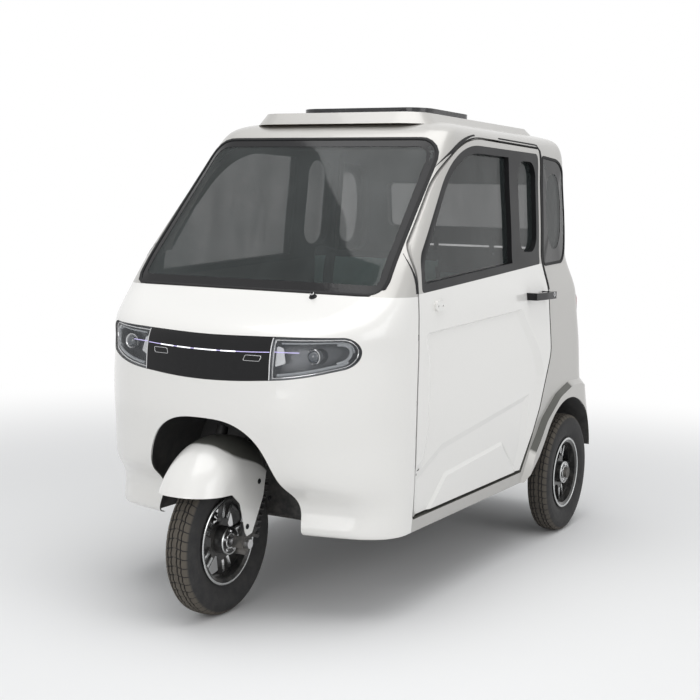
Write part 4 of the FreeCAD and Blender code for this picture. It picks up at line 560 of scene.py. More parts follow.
class Work:
    """A mesh in the making, in the row frame, with a finish for each face."""

    def __init__(self, name: str, body: str) -> None:
        """Starts an empty mesh.

        Args:
            name: The finished object's name.
            body: The body that it rides on.
        """
        self.name = name
        self.body = body
        self.bm = bmesh.new()
        self.finishes: list[Finish] = []

    def slot(self, finish: Finish) -> int:
        """The number of a finish among the object's own."""
        if finish not in self.finishes:
            self.finishes.append(finish)
        return self.finishes.index(finish)

    def skin_rings(self, rings: Sequence[Sequence[Vector]], finish: Finish, closed: bool = False,
                   caps: bool = True) -> list[bmesh.types.BMFace]:
        """Joins rings of points with faces.

        Args:
            rings: Rings with the same number of points.
            finish: What the faces look like.
            closed: True where the last ring joins the first.
            caps: True to close both ends.

        Returns:
            The new faces.
        """
        loops = [[self.bm.verts.new(point) for point in ring] for ring in rings]
        number = self.slot(finish)
        faces = []
        pairs = list(zip(loops, loops[1:])) + ([(loops[-1], loops[0])] if closed else [])
        for first, second in pairs:
            for index in range(len(first)):
                after = (index + 1) % len(first)
                faces.append(self.bm.faces.new((first[index], first[after], second[after], second[index])))
        if caps and not closed:
            faces += [self.bm.faces.new(loops[0][::-1]), self.bm.faces.new(loops[-1])]
        for face in faces:
            face.material_index = number
        return faces

    def sweep(self, path: Sequence[Vector], ups: Sequence[Vector], section: Places,
              finish: Finish, closed: bool = False) -> None:
        """Draws a closed section along a path.

        Args:
            path: The places of the section's origin.
            ups: The way the section's second axis points at each place.
            section: Points across and up.
            finish: What it looks like.
            closed: True for a path that ends where it starts.
        """
        rings = []
        last = len(path) - 1
        for index, (place, up) in enumerate(zip(path, ups)):
            before = path[index - 1] if closed or index else path[index]
            after = path[(index + 1) % len(path)] if closed or index < last else path[index]
            way = (after - before).normalized()
            across = way.cross(up).normalized()
            lift = across.cross(way).normalized()
            rings.append([place + across * a + lift * b for a, b in section])
        self.skin_rings(rings, finish, closed)

    def tube(self, path: Sequence[Vector], radius: float, finish: Finish, sides: int = 10,
             closed: bool = False) -> None:
        """A round bar along a path."""
        way = (path[1] - path[0]).normalized()
        up = way.orthogonal().normalized()
        ups = []
        for index in range(len(path)):
            after = path[(index + 1) % len(path)] if closed or index < len(path) - 1 else path[index]
            before = path[index - 1] if closed or index else path[index]
            way = (after - before).normalized()
            up = (up - way * up.dot(way)).normalized()
            ups.append(up.copy())
        self.sweep(path, ups, circle(radius, sides), finish, closed)

    def lathe(self, centre: Vector, axis: Vector, profile: Places, finish: Finish,
              steps: int = 32, hollow: bool = False) -> None:
        """Turns a profile round an axis.

        Args:
            centre: A point of the axis.
            axis: The axis's direction.
            profile: Distances along the axis and from it.
            finish: What it looks like.
            steps: Facets round the axis.
            hollow: True where the profile closes on itself off the axis.
        """
        axis = axis.normalized()
        side = axis.orthogonal().normalized()
        other = axis.cross(side)
        rings = [[centre + axis * along + side * a + other * b for a, b in circle(max(radius, 0.0), steps)]
                 for along, radius in profile]
        self.skin_rings(rings, finish, closed=hollow)

    def block(self, centre: Vector, size: Sequence[float], finish: Finish, bevel: float = 0.0,
              axes: Sequence[Vector] = (X_WAY, Y_WAY, Z_WAY)) -> None:
        """A box with rounded edges.

        Args:
            centre: Its middle.
            size: Its three lengths along its axes.
            finish: What it looks like.
            bevel: The size of its rounded edges.
            axes: Its directions.
        """
        scale = Matrix.Diagonal((*size, 1.0))
        turned = Matrix.Translation(centre) @ Matrix(axes).transposed().to_4x4() @ scale
        corners = bmesh.ops.create_cube(self.bm, size=1.0, matrix=turned)["verts"]
        number = self.slot(finish)
        for face in {face for corner in corners for face in corner.link_faces}:
            face.material_index = number
        if bevel:
            edges = list({edge for corner in corners for edge in corner.link_edges})
            bmesh.ops.bevel(self.bm, geom=edges, offset=bevel, segments=2, profile=0.6, affect="EDGES",
                            material=number)

    def slab(self, outer: Sequence[Vector], lift: Vector, finish: Finish, edge: float) -> None:
        """A plate with an outline, thickened one way.

        Args:
            outer: The outline's points.
            lift: From the lower face to the upper one.
            finish: What it looks like.
            edge: How far the upper edge is set in for a soft rim.
        """
        middle = sum(outer, Vector()) / len(outer)
        top = [point + lift + (middle - point).normalized() * edge for point in outer]
        self.skin_rings([list(outer), [point + lift * 0.75 for point in outer], top], finish)

    def band(self, outer: Sequence[Found], inner: Sequence[Found], finish: Finish,
             lift: float = 0.0012, sink: float = 0.0006) -> None:
        """A thin closed strip between two loops that lie on a surface.

        Args:
            outer: Points and surface directions of one loop.
            inner: The same for the other loop.
            finish: What it looks like.
            lift: How far its face stands off the surface.
            sink: How far its back lies under the surface.
        """
        rings = []
        for (outer_place, outer_way), (inner_place, inner_way) in zip(outer, inner):
            rings.append([outer_place - outer_way * sink, outer_place + outer_way * lift,
                          inner_place + inner_way * lift, inner_place - inner_way * sink])
        self.skin_rings(rings, finish, closed=True)

    def bar(self, found: Sequence[Found], section: Places, finish: Finish) -> None:
        """Draws a closed section along points of a surface."""
        self.sweep([place for place, _ in found], [way for _, way in found], section, finish)

    def done(self, sharp: float = SHARP, mirror: bool = False) -> Piece:
        """Turns the mesh into an object that rides on its body.

        Args:
            sharp: The least angle in degrees that stays a sharp edge.
            mirror: True to add the same on the other side of the car.

        Returns:
            The new object.
        """
        bmesh.ops.remove_doubles(self.bm, verts=self.bm.verts[:], dist=TINY)
        bmesh.ops.dissolve_degenerate(self.bm, dist=TINY / 10, edges=self.bm.edges[:])
        if mirror:
            whole = self.bm.verts[:] + self.bm.edges[:] + self.bm.faces[:]
            copied = bmesh.ops.duplicate(self.bm, geom=whole)
            for item in copied["geom"]:
                if isinstance(item, bmesh.types.BMVert):
                    item.co.x = -item.co.x
        bmesh.ops.recalc_face_normals(self.bm, faces=self.bm.faces[:])
        mesh = bpy.data.meshes.new(self.name)
        self.bm.to_mesh(mesh)
        self.bm.free()
        for finish in self.finishes:
            mesh.materials.append(shop.get(finish))
        item = bpy.data.objects.new(self.name, mesh)
        bpy.context.scene.collection.objects.link(item)
        soften(item, sharp)
        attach(item, self.body)
        return item


def soften(item: Piece, sharp: float = SHARP) -> None:
    """Shades an object smoothly but for edges over an angle in degrees."""
    mesh = item.data
    mesh.polygons.foreach_set("use_smooth", [True] * len(mesh.polygons))
    work = bmesh.new()
    work.from_mesh(mesh)
    values = [edge.calc_face_angle(0.0) > math.radians(sharp) for edge in work.edges]
    work.free()
    mesh.attributes.new("sharp_edge", "BOOLEAN", "EDGE").data.foreach_set("value", values)


class Maker:
    """A group of finished pieces."""

    def parts(self) -> list[Piece]:
        """Makes the pieces.

        Returns:
            The new objects.
        """
        raise NotImplementedError

    def build(self) -> list[str]:
        """Makes the pieces and gives their names."""
        return [item.name for item in self.parts()]


def loop_at(find: Finder, points: Iterable[Place]) -> list[Found]:
    """The surface points of a loop that is given in one view."""
    found = [find(*point) for point in points]
    return [place for place in found if place is not None]


SEAL_OUTER_DOOR, SEAL_INNER_DOOR, SEAL_SHARP = -0.0175, -0.0040, 50.0
SEAL_SINK, SEAL_CROWN = 0.004, 0.4


def seal_rings(run: Sequence[tuple[Found, Vector]], lifts: Sequence[float]) -> list[Loop]:
    """The sections of a rubber lip between a surface and an edge.

    Args:
        run: For each section the surface point with its outward direction, and the edge's place.
        lifts: How far the lip's back lies under the surface, and how far its three upper points stand off.

    Returns:
        A ring of points for each section.
    """
    sink, near, crown, far = lifts
    rings = []
    for (a, way), b in run:
        rings.append([a - way * sink, a + way * near, a.lerp(b, SEAL_CROWN) + way * crown,
                      b + way * far, b - way * SEAL_SINK])
    return rings


def rounded(points: Places, radius: float, steps: int = 6) -> list[Place]:
    """A polygon in a plane with its corners rounded."""
    count = len(points)
    result: list[Place] = []
    for index in range(count):
        before, corner, after = (Vector(points[(index + shift) % count]) for shift in (-1, 0, 1))
        reach = min(radius, (before - corner).length * 0.45, (after - corner).length * 0.45)
        start = corner + (before - corner).normalized() * reach
        end = corner + (after - corner).normalized() * reach
        for step in range(steps + 1):
            t = step / steps
            place = start * (1 - t) ** 2 + corner * 2 * t * (1 - t) + end * t * t
            result.append((place.x, place.y))
    return result


def inset(points: Places, amount: float) -> list[Place]:
    """A loop in a plane moved inwards by the same amount all round."""
    count = len(points)
    turn = sum(points[i][0] * points[(i + 1) % count][1] - points[(i + 1) % count][0] * points[i][1]
               for i in range(count))
    sign = 1.0 if turn > 0 else -1.0
    result = []
    for index in range(count):
        before, after = Vector(points[index - 1]), Vector(points[(index + 1) % count])
        way = (after - before).normalized()
        result.append((points[index][0] - sign * way.y * amount, points[index][1] + sign * way.x * amount))
    return result


class RingTree:
    """Geometry Nodes that repeat a piece round a wheel's axle."""

    INPUTS = {"Count": "NodeSocketInt", "Centre": "NodeSocketVector", "Start": "NodeSocketFloat",
              "Weld": "NodeSocketFloat"}

    def __init__(self, finish: Finish) -> None:
        """Builds the tree for pieces of one finish."""
        self.tree = bpy.data.node_groups.new(f"ring_{finish.name}", "GeometryNodeTree")
        sockets = self.tree.interface
        sockets.new_socket("Geometry", in_out="INPUT", socket_type="NodeSocketGeometry")
        self.keys = {name: sockets.new_socket(name, in_out="INPUT", socket_type=kind).identifier
                     for name, kind in self.INPUTS.items()}
        sockets.new_socket("Geometry", in_out="OUTPUT", socket_type="NodeSocketGeometry")
        graph = Graph(self.tree)
        given = graph.node("NodeGroupInput").outputs
        back = graph.node("ShaderNodeVectorMath", given["Centre"], settings={"operation": "SCALE"},
                          Scale=-1.0)
        moved = graph.node("GeometryNodeTransform", given["Geometry"],
                           Translation=back.outputs[0]).outputs[0]
        points = graph.node("GeometryNodePoints", given["Count"], given["Centre"]).outputs[0]
        step = graph.math("DIVIDE", 2 * math.pi, given["Count"])
        turn = graph.math("MULTIPLY", graph.node("GeometryNodeInputIndex").outputs[0], step)
        way = graph.node("ShaderNodeCombineXYZ", X=graph.math("ADD", turn, given["Start"])).outputs[0]
        copies = graph.node("GeometryNodeInstanceOnPoints", Points=points, Instance=moved,
                            Rotation=way).outputs[0]
        real = graph.node("GeometryNodeRealizeInstances", copies).outputs[0]
        welded = graph.node("GeometryNodeMergeByDistance", real, Distance=given["Weld"]).outputs[0]
        dressed = graph.node("GeometryNodeSetMaterial", welded, Material=shop.get(finish)).outputs[0]
        graph.node("NodeGroupOutput", dressed)

    def apply(self, item: Piece, count: int, centre: Vector, start: float, weld: float) -> None:
        """Repeats an object's mesh and keeps the result as a plain mesh.

        Args:
            item: The object with the piece to repeat.
            count: The number of copies.
            centre: A point of the axle.
            start: The first copy's turn.
            weld: The distance under which points are joined.
        """
        modifier = item.modifiers.new("ring", "NODES")
        modifier.node_group = self.tree
        for name, value in {"Count": count, "Centre": tuple(centre), "Start": start, "Weld": weld}.items():
            modifier[self.keys[name]] = value
        bpy.context.view_layer.update()
        seen = item.evaluated_get(bpy.context.evaluated_depsgraph_get())
        mesh = bpy.data.meshes.new_from_object(seen)
        item.modifiers.remove(modifier)
        item.data = mesh


@dataclass(frozen=True)
class Wheel:
    """Where a wheel stands and which of its faces are seen."""

    name: str
    body: str
    centre: Vector
    faces: tuple[int, ...]
    hub_half: float
    hub_bolt_radius: float


WHEELS = (
    Wheel("front", "front_wheel", FRONT_AXLE, (-1, 1), 0.042, 0.030),
    Wheel("rear_left", "rear_wheel_left", REAR_AXLE + X_WAY * 0.490, (1,), 0.030, 0.031),
    Wheel("rear_right", "rear_wheel_right", REAR_AXLE - X_WAY * 0.490, (-1,), 0.030, 0.031),
)


class Wheels(Maker):
    """Tyres with a cut tread, polished spokes, rim edges and hub bolts."""

    PITCHES = 52
    TREAD = ((0.0, 0.2277, 0), (0.0070, 0.2276, 0), (0.0078, 0.2276, 1), (0.0112, 0.2274, 1),
             (0.0120, 0.2273, 0), (0.0195, 0.2266, 0), (0.0203, 0.2265, 1), (0.0235, 0.2261, 1),
             (0.0243, 0.2260, 0), (0.0300, 0.2240, 0), (0.0355, 0.2190, 0))
    WALL = ((0.0392, 0.2125, 0), (0.0415, 0.2030, 0), (0.0418, 0.2020, 1), (0.0424, 0.1995, 1),
            (0.0425, 0.1980, 0), (0.0425, 0.1800, 0), (0.0412, 0.1700, 0), (0.0385, 0.1600, 0),
            (0.0345, 0.1500, 0), (0.0297, 0.1423, 0), (0.0297, 0.1273, 0))
    ARC = ((0.0, 0), (0.10, 0), (0.13, 1), (0.22, 1), (0.25, 0), (0.50, 0), (0.75, 0))
    GROOVE = 0.0045
    SIPE = 0.0026
    WALL_RING = 0.0015
    SLANT = 9.0
    SHOULDER = 0.0355
    MIDDLE_RIB = 0.001
    WAVE = 0.0011
    WAVE_ZONE = (0.005, 0.026)
    SPOKES = 5
    SPOKE_FACE = ((0.066, 5.5), (0.110, 7.0), (0.1115, 11.5), (0.066, 16.5))
    SPOKE_PLACE, SPOKE_LIFT, SPOKE_ROUND, SPOKE_EDGE = 0.0066, 0.0022, 0.004, 0.0012
    WASHER = ((-0.001, 0.0068), (0.0012, 0.0068), (0.0016, 0.0062))
    BOLT = ((0.0010, 0.0050), (0.0050, 0.0050), (0.0058, 0.0042))
    FIRST_BOLT = 0.3
    FLANGE = ((0.0346, 0.1282), (0.0362, 0.1290), (0.0366, 0.1330), (0.0346, 0.1362))
    CAP_RINGS = (
        ((-0.001, 0.0195), (0.0015, 0.0200), (0.0020, 0.0225), (0.0005, 0.0240), (-0.001, 0.0240)),
        ((-0.006, 0.0415), (-0.002, 0.0432), (0.0012, 0.0415), (0.0012, 0.0385), (-0.002, 0.0375)),
    )
    VALVE_FOOT, VALVE_REACH = (0.016, -0.060, 0.0985), (0.012, 0.012, -0.020)
    VALVE_STEM, VALVE_CAP = 0.0032, 0.0040

    def __init__(self) -> None:
        """Prepares the trees."""
        self.trees: dict[Finish, RingTree] = {}

    def repeat(self, work: Work, finish: Finish, wheel: Wheel, count: int, start: float = 0.0,
               weld: float = TINY) -> Piece:
        """Repeats a mesh round a wheel's axle."""
        if finish not in self.trees:
            self.trees[finish] = RingTree(finish)
        item = work.done()
        self.trees[finish].apply(item, count, wheel.centre, start, weld)
        soften(item)
        return item

    def depth(self, x: float, tread: bool, sunk: int, cut: int) -> float:
        """How deep the surface lies at a place of the section."""
        if tread and cut and not sunk and abs(x) > self.MIDDLE_RIB:
            return self.SIPE
        if not sunk:
            return 0.0
        return self.GROOVE if tread else self.WALL_RING

    def pitch(self, wheel: Wheel) -> Work:
        """One pitch of the tyre, from bead to bead and back inside."""
        work = Work(f"{wheel.name}_tyre_tread", wheel.body)
        rows = enumerate(self.TREAD + self.WALL)
        half = [(x, r, sunk, index < len(self.TREAD)) for index, (x, r, sunk) in rows]
        section = [(-x, r, sunk, tread) for x, r, sunk, tread in half[:0:-1]] + half
        worn = work.bm.verts.layers.float.new("wear")
        columns = []
        for share, cut in self.ARC + ((1.0, 0),):
            column = []
            for x, r, sunk, tread in section:
                waved = tread and self.WAVE_ZONE[0] < abs(x) < self.WAVE_ZONE[1]
                wave = self.WAVE * math.sin(2 * math.pi * share) if waved else 0.0
                depth = self.depth(x, tread, sunk, cut)
                slant = self.SLANT * (abs(x) if tread else self.SHOULDER)
                turn = (share + slant) * 2 * math.pi / self.PITCHES
                reach = r - depth
                across = Vector((x + wave, reach * math.cos(turn), reach * math.sin(turn)))
                corner = work.bm.verts.new(wheel.centre + across)
                corner[worn] = 1.0 if tread and not depth else 0.0
                column.append(corner)
            columns.append(column)
        number = work.slot(TYRE_RUBBER)
        for first, second in zip(columns, columns[1:]):
            for index in range(len(section)):
                after = (index + 1) % len(section)
                face = work.bm.faces.new((first[index], first[after], second[after], second[index]))
                face.material_index = number
        return work

    def tyre(self, wheel: Wheel) -> Piece:
        """A whole tyre instead of the plain one."""
        item = self.repeat(self.pitch(wheel), TYRE_RUBBER, wheel, self.PITCHES, weld=TINY * 20)
        fix = bmesh.new()
        fix.from_mesh(item.data)
        bmesh.ops.recalc_face_normals(fix, faces=fix.faces[:])
        fix.to_mesh(item.data)
        fix.free()
        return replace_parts(item, f"{wheel.name}_tyre")

    def polished(self, wheel: Wheel, side: int, word: str) -> Piece:
        """The bright faces of one pair of spokes."""
        work = Work(f"{wheel.name}_spoke_faces_{word}", wheel.body)
        middle = wheel.centre + X_WAY * (side * self.SPOKE_PLACE)
        for sign in (-1, 1):
            corners = [(r, math.radians(angle)) for r, angle in self.SPOKE_FACE]
            flat = [(r * math.cos(turn), sign * r * math.sin(turn)) for r, turn in corners]
            outline = [middle + Vector((0.0, *place)) for place in rounded(flat, self.SPOKE_ROUND, 3)]
            work.slab(outline, X_WAY * (side * self.SPOKE_LIFT), RIM_FACE, self.SPOKE_EDGE)
        return self.repeat(work, RIM_FACE, wheel, self.SPOKES)

    def bolts(self, wheel: Wheel, side: int, word: str) -> Piece:
        """Hub bolts with washers."""
        work = Work(f"{wheel.name}_hub_bolts_{word}", wheel.body)
        place = wheel.centre + Vector((side * wheel.hub_half, wheel.hub_bolt_radius, 0.0))
        work.lathe(place, X_WAY * side, self.WASHER, CHROME, 16)
        work.lathe(place, X_WAY * side, self.BOLT, CHROME, 6)
        return self.repeat(work, CHROME, wheel, self.SPOKES, self.FIRST_BOLT)

    def rim_edge(self, wheel: Wheel, side: int, word: str) -> Piece:
        """Polished flange, hub cap rings and valve."""
        work = Work(f"{wheel.name}_rim_edge_{word}", wheel.body)
        way = X_WAY * side
        work.lathe(wheel.centre, way, self.FLANGE, RIM_FACE, 96, hollow=True)
        for ring, steps in zip(self.CAP_RINGS, (48, 64)):
            work.lathe(wheel.centre + way * wheel.hub_half, way, ring, RIM_FACE, steps, hollow=True)
        outward = Vector((side, 1.0, 1.0))
        base = wheel.centre + outward * Vector(self.VALVE_FOOT)
        tip = base + outward * Vector(self.VALVE_REACH)
        work.tube([base, base.lerp(tip, 0.5), tip], self.VALVE_STEM, SEAL_RUBBER)
        work.tube([tip, tip.lerp(tip * 2 - base, 0.25)], self.VALVE_CAP, BLACK_PLASTIC)
        return work.done()

    def parts(self) -> list[Piece]:
        """Makes all three wheels."""
        made = []
        for wheel in WHEELS:
            made.append(self.tyre(wheel))
            for side, word in sorted(SIDES):
                if side in wheel.faces:
                    made += [make(wheel, side, word) for make in (self.polished, self.bolts, self.rim_edge)]
        return made


def outline_of(find: Finder, centre: Place, count: int = 120, reach: float = 1.0) -> list[Place]:
    """The edge of a form in one view, found by rays from outside towards its middle.

    Args:
        find: Gives the surface point at a place of the view, or nothing.
        centre: A place inside the form.
        count: The number of points.
        reach: How far outside the search starts.

    Returns:
        The edge's places in order.
    """
    edge, stride, halvings = [], 0.006, 10
    for step in range(count * 2):
        turn = math.pi * step / count
        across, up = math.cos(turn), math.sin(turn)
        near = reach
        while near > 0 and find(centre[0] + across * near, centre[1] + up * near) is None:
            near -= stride
        off = near + stride
        for _ in range(halvings):
            middle = (near + off) / 2
            if find(centre[0] + across * middle, centre[1] + up * middle) is None:
                off = middle
            else:
                near = middle
        edge.append(Vector((centre[0] + across * near, centre[1] + up * near, 0.0)))
    return [(place.x, place.y) for place in even_line(edge, count, closed=True)]


def oval(outer: Places, centre: Place, spans: Place, lean: float, power: float = 2.4) -> list[Place]:
    """Points of a soft oval in the same directions as an outline's points.

    Args:
        outer: The outline.
        centre: The oval's middle.
        spans: The oval's half width and half height.
        lean: How much its top leans sideways for each unit of height.
        power: 2 for an ellipse and more for a squarer form.

    Returns:
        The oval's points.
    """
    result = []
    for place in outer:
        turn = math.atan2(place[1] - centre[1], place[0] - centre[0])
        wide, high = math.cos(turn) / spans[0], math.sin(turn) / spans[1]
        reach = (abs(wide) ** power + abs(high) ** power) ** (-1 / power)
        rise = reach * math.sin(turn)
        result.append((centre[0] + reach * math.cos(turn) + lean * rise, centre[1] + rise))
    return result


def filled(pairs: Iterable[tuple]) -> list[tuple]:
    """The pairs in which both places were found."""
    return [pair for pair in pairs if all(pair)]


class Glazing(Maker):
    """Black borders printed on the glass, rubber round it and the door seals."""

    FRIT, REAR_FRIT, FRIT_START = 0.026, 0.020, 0.002
    PRINT = (0.0010, 0.0008)
    RUBBER, QUARTER_RUBBER, RUBBER_SHIFT = 0.012, 0.011, -0.001
    RUBBER_FOOT, RUBBER_SIDE, RUBBER_TOP, RUBBER_CROWN = -0.001, 0.0012, 0.0030, 0.3
    WINDSCREEN_CENTRE, REAR_CENTRE, QUARTER_CENTRE = (0.0, 1.20), (0.0, 1.25), (0.685, 1.235)
    OVAL = ((0.6845, 1.240), (0.080, 0.142), -0.06)
    DOOR_CENTRE, DOOR_POINTS = (0.0, 0.95), 220
    DOOR_FRONT, DOOR_BELT = -0.4, 0.9
    SEAL_END, REAR_SEAL_END, REAR_FROM = 0.975, 0.94, 0.2

    def pane(self, name: str, find: Finder, around: Finder, edge: Places, inner: Places,
             width: float = RUBBER) -> list[Piece]:
        """A pane's printed border and the rubber over its edge.

        Args:
            name: The pieces' names, with a gap for border or rubber.
            find: Gives the pane's surface points.
            around: Gives the surface points of the pane and what surrounds it.
            edge: The pane's outline.
            inner: The outline of its clear part.
            width: The rubber's width.

        Returns:
            The border and the rubber.
        """
        border = Work(name.format("border"), "cab")
        rims = filled((find(*a), find(*b)) for a, b in zip(inset(edge, self.FRIT_START), inner))
        border.band([a for a, _ in rims], [b for _, b in rims], BLACK_GLOSS, *self.PRINT)
        rubber = Work(name.format("rubber"), "cab")
        path = loop_at(around, inset(edge, self.RUBBER_SHIFT))
        crown = width * self.RUBBER_CROWN
        section = [(-width / 2, self.RUBBER_FOOT), (width / 2, self.RUBBER_FOOT),
                   (width / 2, self.RUBBER_SIDE), (crown, self.RUBBER_TOP), (-crown, self.RUBBER_TOP),
                   (-width / 2, self.RUBBER_SIDE)]
        rubber.sweep([place for place, _ in path], [way for _, way in path], section, SEAL_RUBBER,
                     closed=True)
        return [border.done(), rubber.done()]

    def windscreen(self) -> list[Piece]:
        """The windscreen's border and rubber."""
        pane, around = Skin("windscreen"), Skin("windscreen", "cab_frame", "nose_panel")
        edge = outline_of(pane.front, self.WINDSCREEN_CENTRE)
        return self.pane("windscreen_{}", pane.front, around.front, edge, inset(edge, self.FRIT))

    def rear(self) -> list[Piece]:
        """The rear window's border and rubber."""
        pane, around = Skin("rear_window"), Skin("rear_window", "rear_body")
        edge = outline_of(pane.rear, self.REAR_CENTRE)
        return self.pane("rear_window_{}", pane.rear, around.rear, edge, inset(edge, self.REAR_FRIT))

    def quarter(self) -> list[Piece]:
        """The quarter windows' wide borders round clear ovals, and their rubbers."""
        made = []
        pane, around = Skin("quarter_windows"), Skin("quarter_windows", "rear_body", "cab_frame")
        for side, name in SIDES:
            edge = outline_of(pane.on_side(side), self.QUARTER_CENTRE)
            made += self.pane(f"quarter_{{}}_{name}", pane.on_side(side), around.on_side(side), edge,
                              oval(edge, *self.OVAL), self.QUARTER_RUBBER)
        return made

    def door_seal(self, side: int, name: str) -> Piece:
        """Black rubber on the body along a door's upper edge."""
        door = Skin(*(f"door_{name}_{part}" for part in ("panel", "frame", "window_frame", "glass")))
        shell = Skin("cab_frame", "rear_body", "nose_panel")
        edge = outline_of(door.on_side(side), self.DOOR_CENTRE, self.DOOR_POINTS)
        start = next(i for i, (y, z) in enumerate(edge) if z < self.DOOR_BELT and y < self.DOOR_FRONT)
        order = [(start + step) % len(edge) for step in range(len(edge))]
        outer, inner = inset(edge, SEAL_OUTER_DOOR), inset(edge, SEAL_INNER_DOOR)
        runs: list[list[tuple]] = [[]]
        for index in order:
            y, z = edge[index]
            found = shell.side(*outer[index], side)
            if found and z > (self.SEAL_END if y < self.REAR_FROM else self.REAR_SEAL_END):
                runs[-1].append((found, Vector((found[0].x, *inner[index]))))
            elif runs[-1]:
                runs.append([])
        work = Work(f"door_seal_{name}", "cab")
        for run in runs:
            if len(run) > 3:
                work.skin_rings(seal_rings(run, (0.002, 0.0012, 0.0036, 0.0022)), SEAL_RUBBER)
        return work.done(SEAL_SHARP)

    def parts(self) -> list[Piece]:
        """Makes the borders and seals."""
        glazed = self.windscreen() + self.rear() + self.quarter()
        return glazed + [self.door_seal(side, name) for side, name in SIDES]


WHITE_GLOW = Finish("white_glow", (0.93, 0.94, 1.0), 0.35, Texture.GRAIN, 300.0, 0.02, glow=0.9,
                    variation=0.02)
LIGHT_GUIDE = Finish("light_guide", (0.40, 0.42, 0.44), 0.22, Texture.PEEL, 120.0, 0.05, coat=0.6,
                     variation=0.04)
LIGHT_LINE = Finish("light_line", (0.62, 0.55, 0.95), 0.30, Texture.GRAIN, 300.0, 0.02, glow=0.5,
                    variation=0.02)
REFLECTOR = Finish("reflector", (0.80, 0.81, 0.82), 0.20, Texture.BRUSHED, 200.0, 0.05, 0.3, 0.5,
                   variation=0.03)
PROJECTOR_GLASS = Finish("projector_glass", (0.035, 0.045, 0.060), 0.04, Texture.PEEL, 40.0, 0.02, coat=1.0,
                         variation=0.3, specular=1.0)
SCREEN_FACE = Finish("screen_face", (0.014, 0.017, 0.022), 0.12, Texture.PEEL, 70.0, 0.02, coat=0.5,
                     variation=0.3)


def shifted(found: Sequence[Found], amount: float) -> Loop:
    """Surface points moved along their outward directions."""
    return [place + way * amount for place, way in found]


